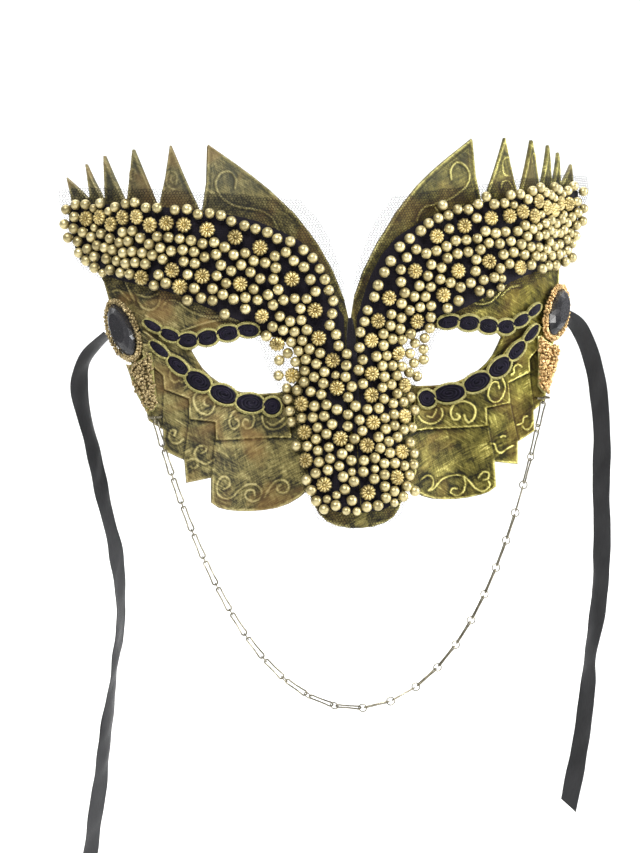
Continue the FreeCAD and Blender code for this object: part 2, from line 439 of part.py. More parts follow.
# smaller beads filling the gaps at the wing ends and on the nose
SMALL = {
    "brow_beads_left": [
        (-85.2, 46), (-85.2, 52.8), (-83.2, 29.6), (-80, 51.5),
    ],
    "nose_beads_left": [
        (-11.2, -51.9), (-8.1, -50.6), (-5.2, -56.1), (-5.8, -8.8), (-3, -34.5), (-1.8, -56.4), (-2.7, -42.9),
    ],
    "brow_beads_right": [
        (85.2, 45.5), (85, 53), (83.1, 30.9), (80, 51.5), (71.2, 41.1), (72.6, 45.5), (61.2, 49.1), (55, 19.8), (55.6, 22.9),
        (51, 17.9),
    ],
    "nose_beads_right": [
        (11.2, -54.5), (5.1, -42.3),
    ],
}

small = dim("small_bead") / 2
for name, places in BEADS.items():
    r = dim("border_bead" if name.startswith("border") else "round_bead") / 2
    NODES.append(feature(name, Part.makeCompound(
        [Part.makeSphere(r, point(x, z, dim("bead_seat") + r)) for x, z in places]
        + [Part.makeSphere(small, point(x, z, dim("bead_seat") + small)) for x, z in SMALL.get(name, [])])))
for name, places in FLOWERS.items():
    made = []
    for x, z in places:
        n = normal(x, z)
        p0 = point(x, z, dim("flower_seat"))
        bead = Part.makeCylinder(dim("flower_bead") / 2, dim("flower_depth"), p0, n)
        made.append(bead.makeChamfer(0.9, [bead.Edges[0], bead.Edges[2]]))
    NODES.append(feature(name, Part.makeCompound(made)))

# ------------------------------------------------------------ temple stones
GEM = (78.4, 9.4)


def frame_at(x, z, lean):
    """Axes on the surface: along the stone, across it, and outward."""
    n = normal(x, z)
    s = 1 if x > 0 else -1
    up = FreeCAD.Vector(s * math.sin(lean), 0, math.cos(lean))
    u = (up - n * up.dot(n)).normalize()
    v = n.cross(u)
    return u, v, n


def stone(sign):
    x, z = GEM[0] * sign, GEM[1]
    u, v, n = frame_at(x, z, math.radians(dim("gem_lean_right" if sign > 0 else "gem_lean_left")))
    c = point(x, z, dim("gem_seat"))
    a, b, h = dim("gem_long") / 2, dim("gem_wide") / 2, dim("gem_deep")
    wires = []
    for level, scale in ((0.0, 0.93), (0.26, 1.0), (0.78, 0.70), (1.0, 0.46)):
        pts = []
        for k in range(12):
            t = 2 * math.pi * (k + 0.0) / 12
            pts.append(c + u * (a * scale * math.cos(t)) + v * (b * scale * math.sin(t)) + n * (h * level))
        wires.append(Part.makePolygon(pts + [pts[0]]))
    body = Part.makeLoft(wires, True, True)
    dots = []
    count = 30
    for k in range(count):
        t = 2 * math.pi * k / count
        q = c + u * ((a + 1.45) * math.cos(t)) + v * ((b + 1.45) * math.sin(t))
        foot = point(q.x, q.z, 0)
        m = normal(q.x, q.z)
        lift = (q - foot).dot(m)
        q = q + m * (max(dim("dot_bead") / 2 + 0.25, 2.25) - lift)
        dots.append(Part.makeSphere(dim("dot_bead") / 2, q))
    return body, Part.makeCompound(dots)


for side, sign in (("right", 1), ("left", -1)):
    body, dots = stone(sign)
    NODES.append(feature("temple_stone_" + side, body))
    NODES.append(feature("stone_border_beads_" + side, dots))

# ------------------------------------------------------------ chain
EYE_AT = (70.4, -20.6)
bar_y = height(*EYE_AT) - dim("eye_reach")
bar_z = EYE_AT[1]


def wire(points, radius):
    """A round wire along straight runs, with ball corners."""
    parts = []
    for a, b in zip(points, points[1:]):
        parts.append(Part.makeCylinder(radius, (b - a).Length, a, b - a))
    for p in points[1:-1]:
        parts.append(Part.makeSphere(radius, p))
    return parts[0].fuse(parts[1:]).removeSplitter()


V = FreeCAD.Vector
for side, sign in (("right", 1), ("left", -1)):
    x0 = EYE_AT[0] * sign
    half = dim("eye_span") / 2
    legs = []
    for s in (-1, 1):
        legs.append(V(x0 + s * half, height(x0 + s * half, bar_z) + 0.7, bar_z))
    pts = [legs[0], V(x0 - half, bar_y, bar_z), V(x0 + half, bar_y, bar_z), legs[1]]
    NODES.append(feature("chain_staple_" + side, wire(pts, dim("eye_wire") / 2)))

# the chain hangs as a catenary between the two staples
ring_r, ring_w = dim("ring_radius"), dim("ring_wire") / 2
drop = ring_r - ring_w - dim("eye_wire") / 2 - 0.12     # ring centre below the staple bar
half_span = EYE_AT[0]
SAG = 108.5
lo, hi = 5.0, 200.0
for _ in range(80):
    mid = (lo + hi) / 2
    if mid * (math.cosh(half_span / mid) - 1) > SAG:
        lo = mid
    else:
        hi = mid
CAT = (lo + hi) / 2
half_len = CAT * math.sinh(half_span / CAT)
UNITS = 26
pitch = 2 * half_len / UNITS


def hang(arc):
    """Point and direction at a length along the chain, measured from its lowest point."""
    x = CAT * math.asinh(arc / CAT)
    z = bar_z - drop - SAG + CAT * (math.cosh(x / CAT) - 1)
    t = V(1, 0, math.sinh(x / CAT)).normalize()
    return V(x, bar_y, z), t


def oval_link(a, b, twist):
    """A narrow drop-shaped link between two pin points, its plane turned about its length."""
    w = dim("link_wire") / 2
    t = (b - a).normalize()
    side = V(0, 1, 0).cross(t).normalize()
    s = side * math.cos(twist) + V(0, 1, 0) * math.sin(twist)
    n = t.cross(s)
    wide, narrow = dim("link_wide") / 2 - w, 0.80
    length = (b - a).Length
    # path: small round end at a, large round end at b
    pts = []
    for k in range(7):
        g = math.pi * (0.5 + k / 6.0)
        pts.append(a + t * (narrow * math.cos(g) + narrow) + s * (narrow * math.sin(g)))
    for k in range(7):
        g = math.pi * (-0.5 + k / 6.0)
        pts.append(b + t * (wide * math.cos(g) - wide) + s * (wide * math.sin(g)))
    outer, inner = [], []
    centre = (a + b) * 0.5
    loop = pts
    m = len(loop)
    for k in range(m):
        p0, p1, p2 = loop[k - 1], loop[k], loop[(k + 1) % m]
        d = (p2 - p0).normalize()
        o = d.cross(n).normalize()
        outer.append(p1 + o * w)
        inner.append(p1 - o * w)
    if (outer[0] - centre).Length < (inner[0] - centre).Length:
        outer, inner = inner, outer
    lift = n * (-w)
    fo = Part.Face([Part.makePolygon([p + lift for p in outer + [outer[0]]])])
    fi = Part.Face([Part.makePolygon([p + lift for p in inner + [inner[0]]])])
    return fo.cut(fi).Faces[0].extrude(n * (2 * w))


def twist_at(k):
    """Turn of the chain about its own length: flat on the left, edge-on down the right."""
    steps = [(0, 0), (9, 0), (15, 90), (21, 90), (25, 0), (26, 0)]
    for (k0, a0), (k1, a1) in zip(steps, steps[1:]):
        if k <= k1:
            return math.radians(a0 + (a1 - a0) * (k - k0) / float(k1 - k0))
    return 0.0


links, rings = [], []
joint_gap = 0.66
for k in range(UNITS + 1):
    p, t = hang(-half_len + k * pitch)
    turn = 0.5 * (twist_at(max(k - 1, 0)) + twist_at(k))
    side = V(0, 1, 0).cross(t).normalize()
    axis = side * math.cos(turn) + V(0, 1, 0) * math.sin(turn)
    rings.append(Part.makeTorus(ring_r, ring_w, p, axis))
for k in range(UNITS):
    p0, t0 = hang(-half_len + k * pitch)
    p1, t1 = hang(-half_len + (k + 1) * pitch)
    d = (p1 - p0).normalize()
    links.append(oval_link(p0 + d * joint_gap, p1 - d * joint_gap, twist_at(k)))
chain_links = feature("chain_links", Part.makeCompound(links))
chain_rings = feature("chain_rings", Part.makeCompound(rings))
NODES += [chain_links, chain_rings]
print("staple bar y %.3f z %.3f" % (bar_y, bar_z))
print("chain: catenary %.1f, half length %.1f, pitch %.2f" % (CAT, half_len, pitch))

# ------------------------------------------------------------ ribbons
RIBBONS = {
    "ribbon_left": [
        (-84.4, 18.4, 7.8), (-88.4, 18.6, 4.6), (-93.2, 18.9, -0.6), (-95.4, 18.9, -8.0), (-94.6, 18.6, -16.0), (-91.6, 18.0, -31.0),
        (-87.6, 17.4, -57.0), (-84.2, 17.2, -76.0), (-84.3, 17.4, -96.0), (-87.0, 17.8, -112.0), (-89.6, 18.2, -126.0),
        (-93.2, 18.6, -147.0), (-96.6, 18.8, -166.0), (-100.2, 18.8, -184.0),
    ],
    "ribbon_right": [
        (84.4, 18.4, 8.2), (89.2, 18.7, 6.0), (93.4, 19.0, -1.4), (96.4, 19.0, -11.0), (98.6, 18.8, -24.0), (99.1, 18.4, -40.0),
        (98.1, 18.0, -56.0), (98.0, 17.8, -76.0), (97.2, 17.6, -92.0), (95.0, 17.8, -108.0), (92.3, 18.2, -122.0),
        (91.2, 18.6, -138.0), (88.6, 18.8, -156.0), (83.0, 18.8, -180.0),
    ],
}


def cord_path(points):
    pts = [V(*p) for p in points]
    edges, radii = [], []
    start = pts[0]
    for i in range(1, len(pts) - 1):
        d0, d1 = pts[i] - pts[i - 1], pts[i + 1] - pts[i]
        run = min(d0.Length, d1.Length)
        turn = d0.getAngle(d1)
        radius = 0.45 * run / math.tan(turn / 2)
        cut = 0.45 * run
        a = pts[i] - d0.normalize() * cut
        d0 = pts[i] - pts[i - 1]
        b = pts[i] + V(pts[i + 1] - pts[i]).normalize() * cut
        u0, u1 = (pts[i] - pts[i - 1]).normalize(), (pts[i + 1] - pts[i]).normalize()
        centre_dir = (u1 - u0).normalize()
        centre = pts[i] + centre_dir * (radius / math.cos(turn / 2))
        mid = centre - centre_dir * radius
        edges.append(Part.LineSegment(start, a).toShape())
        edges.append(Part.Arc(a, mid, b).toShape())
        start = b
        radii.append(radius)
    edges.append(Part.LineSegment(start, pts[-1]).toShape())
    return Part.Wire(edges), radii


for name, route in RIBBONS.items():
    path, radii = cord_path(route)
    r = dim("ribbon_tube") / 2
    first = V(*route[1]) - V(*route[0])
    ring = Part.Wire(Part.makeCircle(r, V(*route[0]), first))
    tube = path.makePipeShell([ring], True, True)
    if tube.Volume < 0:
        tube = tube.reversed()
    want = math.pi * r * r * path.Length
    print("%s: length %.1f, volume %.1f of %.1f, radii %s" % (name, path.Length, tube.Volume, want,
                                                             ", ".join("%.0f" % v for v in radii)))
    NODES.append(feature(name, tube))

# ------------------------------------------------------------ check and write
doc.recompute()
for ob in doc.Objects:
    if any(word in ob.State for word in ("Invalid", "Error")):
        raise RuntimeError("%s: %s" % (ob.Name, ob.State))
for ob in NODES:
    if ob.Shape.isNull() or not ob.Shape.isValid() or not ob.Shape.Solids:
        raise RuntimeError("bad shape: " + ob.Label)
if len(shell.Shape.Solids) != 1:
    raise RuntimeError("the moulding is in %d pieces" % len(shell.Shape.Solids))

os.makedirs("parts", exist_ok=True)
for ob in NODES:
    ob.Shape.exportStep("parts/%s.step" % ob.Label)
    bb = ob.Shape.BoundBox
    print("%-26s solids %3d volume %9.2f  x %.1f..%.1f y %.1f..%.1f z %.1f..%.1f" % (
        ob.Label, len(ob.Shape.Solids), ob.Shape.Volume, bb.XMin, bb.XMax, bb.YMin, bb.YMax, bb.ZMin, bb.ZMax))
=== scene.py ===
import bpy
import math
import numpy as np
from mathutils import Matrix, Vector
from mathutils.geometry import delaunay_2d_cdt


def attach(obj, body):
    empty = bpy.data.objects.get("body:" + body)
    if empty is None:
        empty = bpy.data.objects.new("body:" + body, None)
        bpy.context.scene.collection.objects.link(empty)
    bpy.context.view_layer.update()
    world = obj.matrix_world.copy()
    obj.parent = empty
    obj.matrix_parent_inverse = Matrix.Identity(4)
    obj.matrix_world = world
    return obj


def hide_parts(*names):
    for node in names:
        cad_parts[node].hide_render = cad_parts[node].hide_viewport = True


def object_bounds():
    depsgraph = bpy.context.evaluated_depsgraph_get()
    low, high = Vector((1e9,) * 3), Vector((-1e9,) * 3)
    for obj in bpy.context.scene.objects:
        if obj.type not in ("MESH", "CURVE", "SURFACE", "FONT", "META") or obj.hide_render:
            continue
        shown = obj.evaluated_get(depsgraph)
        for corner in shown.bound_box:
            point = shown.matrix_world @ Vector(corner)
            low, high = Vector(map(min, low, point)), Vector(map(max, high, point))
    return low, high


# Half mask for a masquerade: the looks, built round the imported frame.
# Positions are worked in millimetres in the row frame and written to the
# meshes in metres.  +X is the viewer's right, the mask faces -Y.

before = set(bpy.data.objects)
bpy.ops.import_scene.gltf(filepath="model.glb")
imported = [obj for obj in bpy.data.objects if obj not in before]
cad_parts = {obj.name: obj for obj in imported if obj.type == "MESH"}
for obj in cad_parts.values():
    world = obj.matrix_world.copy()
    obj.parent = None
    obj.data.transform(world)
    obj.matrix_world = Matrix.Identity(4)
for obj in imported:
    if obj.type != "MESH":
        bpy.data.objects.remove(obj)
cad_box = [list(map(float, v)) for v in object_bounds()]
scene = bpy.context.scene
MM = 0.001
rng = np.random.default_rng(20177)

# ------------------------------------------------------------ camera
cam_data = bpy.data.cameras.new("camera")
cam_data.lens = 71.48
cam_data.sensor_width = 36.0
cam_data.clip_start = 0.01
cam_data.clip_end = 50.0
cam = bpy.data.objects.new("camera", cam_data)
scene.collection.objects.link(cam)
cam.matrix_world = Matrix((
    (0.984605, 0.050928, -0.167210, -0.112470),
    (-0.171393, 0.093514, -0.980755, -0.589676),
    (-0.034311, 0.994315, 0.100803, 0.033735),
    (0.0, 0.0, 0.0, 1.0)))
scene.camera = cam

# ------------------------------------------------------------ the moulding's surface
X_ST = np.array([0, 8, 16, 26, 38, 50, 62, 74, 86, 98, 110], float)
Z_ST = np.array([-76, -62, -49, -36, -23, -10, 4, 20, 36, 54, 72, 92], float)
Y_ST = np.array([
    [-10.77, -9.89, -7.23, -2.84, 0.16, -0.79, -0.80, 1.62, 6.02, 12.13, 19.27],
    [-9.85, -8.97, -6.29, -1.75, 1.26, -0.69, -0.43, 2.29, 6.95, 13.36, 20.71],
    [-8.53, -7.68, -5.11, -0.61, 1.64, -0.99, 0.02, 2.89, 7.86, 14.70, 22.40],
    [-6.29, -5.52, -2.73, 1.57, 2.01, -0.47, 0.42, 3.42, 8.83, 16.42, 24.58],
    [-3.82, -2.74, 0.51, 5.31, 3.20, 0.61, 1.47, 3.61, 10.19, 18.76, 27.49],
    [-1.90, -0.76, 2.40, 7.06, 4.11, 1.42, 2.65, 4.60, 12.47, 22.05, 31.22],
    [-1.11, -0.26, 1.83, 4.06, 2.84, 1.84, 3.50, 7.12, 16.20, 26.61, 35.87],
    [-0.50, -0.55, 0.01, 1.01, 1.15, 1.62, 4.27, 10.52, 21.61, 32.01, 40.67],
    [-1.94, -2.03, -1.67, 0.06, 1.48, 2.47, 5.28, 12.79, 24.91, 34.20, 43.04],
    [-2.31, -2.16, -1.27, 1.68, 3.26, 3.72, 6.12, 13.56, 26.14, 34.74, 46.93],
    [-0.70, -0.34, 0.89, 3.09, 3.91, 3.89, 6.75, 15.13, 29.67, 45.30, 57.21],
    [1.13, 1.44, 2.38, 3.76, 4.39, 4.96, 8.76, 18.37, 33.89, 50.91, 64.94]])


def spline_rule(xs, clamp):
    """The matrix that takes a spline's values to its second derivatives."""
    n = len(xs)
    A, B = np.eye(n), np.zeros((n, n))
    for i in range(1, n - 1):
        h0, h1 = xs[i] - xs[i - 1], xs[i + 1] - xs[i]
        A[i, i - 1], A[i, i], A[i, i + 1] = h0, 2 * (h0 + h1), h1
        B[i, i - 1], B[i, i], B[i, i + 1] = 6 / h0, -6 / h0 - 6 / h1, 6 / h1
    if clamp:
        h = xs[1] - xs[0]
        A[0, 0], A[0, 1] = 2 * h, h
        B[0, 0], B[0, 1] = -6 / h, 6 / h
    return np.linalg.solve(A, B)


RULE_X, RULE_Z = spline_rule(X_ST, True), spline_rule(Z_ST, False)
M_Z = RULE_Z @ Y_ST


def run_of(xs, x):
    x = np.clip(x, xs[0] - 6, xs[-1] + 6)
    i = np.clip(np.searchsorted(xs, x, side="left") - 1, 0, len(xs) - 2)
    h = xs[i + 1] - xs[i]
    p, q = (xs[i + 1] - x) / h, (x - xs[i]) / h
    return i, p, q, (p ** 3 - p) * h * h / 6, (q ** 3 - q) * h * h / 6


def height(x, z):
    x, z = np.abs(np.atleast_1d(np.asarray(x, float))), np.atleast_1d(np.asarray(z, float))
    i, p, q, a, b = run_of(Z_ST, z)
    ys = p[:, None] * Y_ST[i] + q[:, None] * Y_ST[i + 1] + a[:, None] * M_Z[i] + b[:, None] * M_Z[i + 1]
    m = ys @ RULE_X.T
    i, p, q, a, b = run_of(X_ST, x)
    k = np.arange(len(x))
    return p * ys[k, i] + q * ys[k, i + 1] + a * m[k, i] + b * m[k, i + 1]


def normal(x, z):
    x, z = np.atleast_1d(np.asarray(x, float)), np.atleast_1d(np.asarray(z, float))
    e = 0.2
    fx = (height(x + e, z) - height(x - e, z)) / (2 * e)
    fz = (height(x, z + e) - height(x, z - e)) / (2 * e)
    v = np.stack([fx, -np.ones_like(fx), fz], 1)
    return v / np.linalg.norm(v, axis=1, keepdims=True)


def point(x, z, off):
    """Points off the front surface, along the outward normal."""
    x, z = np.atleast_1d(np.asarray(x, float)), np.atleast_1d(np.asarray(z, float))
    off = np.broadcast_to(np.asarray(off, float), x.shape)
    return np.stack([x, height(x, z), z], 1) + normal(x, z) * off[:, None]


def frames(x, z, lean=0.0):
    """Axes on the surface at each place: up along it, across it, and outward."""
    n = normal(x, z)
    s = np.where(np.atleast_1d(x) > 0, 1.0, -1.0)
    up = np.stack([s * math.sin(lean), 0 * s, math.cos(lean) + 0 * s], 1)
    u = up - n * (up * n).sum(1, keepdims=True)
    u /= np.linalg.norm(u, axis=1, keepdims=True)
    return u, np.cross(n, u), n


# ------------------------------------------------------------ outlines (x, z)
def mirror(points):
    return [(-x, z) for x, z in points]


OUTLINE_HALF = [
    (0, 8.8), (1.9, 18.5), (5.3, 27.6), (10.5, 37.3), (18.0, 47.8), (26.5, 57.0), (32.0, 61.9), (38.0, 66.6),
    (46.4, 72.7), (47.2, 73.3), (47.7, 72.6), (48.6, 60.0), (50.4, 50.8), (51.1, 50.8),
    (55.9, 62.4), (60.1, 73.4), (60.6, 73.4), (62.6, 62.8), (64.9, 53.8), (65.8, 53.4),
    (69.3, 63.0), (72.7, 72.9), (73.2, 72.9), (74.7, 63.0), (75.9, 55.0), (76.5, 55.0),
    (79.9, 64.0), (82.5, 71.6), (82.9, 71.6), (83.1, 64.0), (83.2, 56.6), (83.8, 56.6),
    (86.6, 63.4), (88.8, 69.3), (89.2, 69.2), (88.7, 63.0), (88.3, 57.4), (88.9, 57.3),
    (92.4, 61.6), (95.7, 65.2), (96.0, 64.9), (95.2, 60.0), (94.6, 55.9),
    (95.9, 53.6), (95.2, 46.0), (94.0, 39.5), (92.4, 33.7), (90.4, 32.7), (88.3, 31.8), (86.4, 30.0), (84.9, 26.5),
    (83.6, 20.5), (82.6, 14.0), (80.6, 7.0), (77.8, -0.5), (75.2, -8.5), (73.6, -15.5), (72.4, -22.0),
    (67.5, -25.4), (67.7, -32.7), (60.7, -36.3), (60.4, -44.4), (51.5, -42.9), (51.9, -51.8),
    (49.2, -53.8), (45.6, -55.0), (41.5, -55.8), (37.4, -56.1), (33.0, -55.9), (28.6, -55.2), (24.8, -53.8), (21.2, -51.6), (17.8, -48.7),
    (16.6, -53.0), (14.6, -57.2), (12.2, -59.8), (9.0, -61.4), (5.0, -62.3), (0, -62.6),
]
EYE = [
    (56.2, 1.9), (55.0, -0.4), (52.6, -4.4), (50.0, -7.2), (46.9, -9.6), (43.2, -11.8), (39.4, -13.4), (35.4, -14.4),
    (30.6, -14.7), (25.6, -14.6), (21.6, -13.6), (19.2, -10.8), (18.4, -6.6), (18.9, -1.8), (21.0, 2.0), (25.0, 4.6),
    (30.0, 5.8), (36.0, 6.1), (42.0, 5.9), (48.0, 5.2), (52.6, 4.2), (55.0, 3.2),
]
CHEEK_LAYER = [
    (21.6, -30.8), (49.5, -29.8), (49.3, -23.4), (58.1, -22.0), (57.9, -14.8), (66.4, -11.2), (66.4, -6.5), (71.6, -1.4),
    (74.8, 5.0), (70.6, 4.6), (64.0, 2.0), (59.0, -0.8), (55.2, -5.0), (51.0, -9.2), (46.0, -12.4), (40.6, -14.9),
    (34.0, -16.3), (26.8, -16.4), (23.4, -19.2), (22.2, -25.0),
]
CLOTH = [
    (2.3, 11.5), (3.6, 14.0), (5.2, 19.0), (8.0, 26.4), (12.0, 33.2), (17.2, 39.0), (23.5, 42.4), (31.0, 46.0), (38.0, 48.0),
    (50.0, 50.2), (64.0, 52.2), (76.0, 53.6), (88.0, 54.8), (95.4, 54.4), (95.2, 47.0), (93.4, 38.8), (91.2, 33.6),
    (86.5, 30.2), (79.0, 27.2), (69.0, 24.4), (60.0, 21.6), (50.0, 16.6), (40.0, 12.2), (33.0, 8.8), (27.6, 6.2), (22.6, 4.2),
    (18.6, 1.2), (16.9, -3.0), (16.6, -8.0), (17.6, -13.0), (18.4, -22.0), (17.6, -34.0), (17.0, -46.0), (15.4, -51.0),
    (12.4, -54.8), (8.0, -56.6), (0.2, -57.2), (0.2, -31.6), (2.3, -31.6),
]
NET = [
    (2.3, 13.0), (3.0, 22.0), (6.0, 31.6), (11.0, 41.6), (18.6, 50.2), (27.0, 54.4), (38.0, 56.2), (50.0, 57.0),
    (64.0, 58.4), (76.0, 59.6), (88.0, 60.6), (99.0, 60.4), (98.6, 54.0), (96.4, 44.0), (94.0, 35.6), (92.0, 31.6), (86.0, 27.6), (79.0, 23.6),
    (69.0, 20.4), (60.0, 18.2), (50.0, 12.6), (40.0, 9.2), (35.4, 7.4), (31.8, 2.4), (30.2, -3.4), (28.0, -9.0), (25.0, -14.6),
    (22.4, -18.0), (21.4, -26.0), (20.4, -36.0), (19.6, -46.0), (18.2, -53.4), (15.2, -59.6), (11.0, -62.6), (2.3, -63.4),
]
PIPING_HALF = [(0, 11.2), (0.7, 11.2), (1.6, 5.0), (1.9, -6.0), (1.9, -22.0), (1.5, -28.6), (0, -30.0)]
PIPING = PIPING_HALF + [(-x, z) for x, z in PIPING_HALF[-2:0:-1]]
FRINGE = [
    (69.6, 1.4), (71.2, 1.4), (72.4, 0.0), (73.4, -0.9), (75.0, -1.8), (76.8, -2.6), (78.2, -2.4), (77.4, -5.0), (76.6, -8.4),
    (75.2, -13.0), (72.4, -19.2), (70.4, -18.9), (68.7, -16.4), (69.4, -8.0), (69.4, -2.0),
]
TAB = [(74.0, 3.2), (83.4, 5.2), (83.4, 13.6), (74.0, 12.4)]
UPPER_OVALS = [(36.4, 8.5, 8.2, 4.8, 4), (43.6, 7.7, 8.0, 5.6, -4), (50.6, 6.3, 7.6, 5.6, -10), (57.2, 5.6, 7.2, 5.4, 0),
               (63.2, 7.6, 7.2, 4.2, 24), (68.6, 10.8, 6.8, 3.2, 34)]
LOWER_OVALS = [(28.2, -19.6, 8.0, 6.6, -3), (36.8, -17.7, 11.2, 6.8, 12), (46.2, -13.9, 10.0, 6.6, 28), (54.4, -8.8, 9.6, 6.4, 36),
               (61.0, -3.2, 9.0, 4.8, 42), (67.0, 2.6, 8.0, 3.4, 44)]

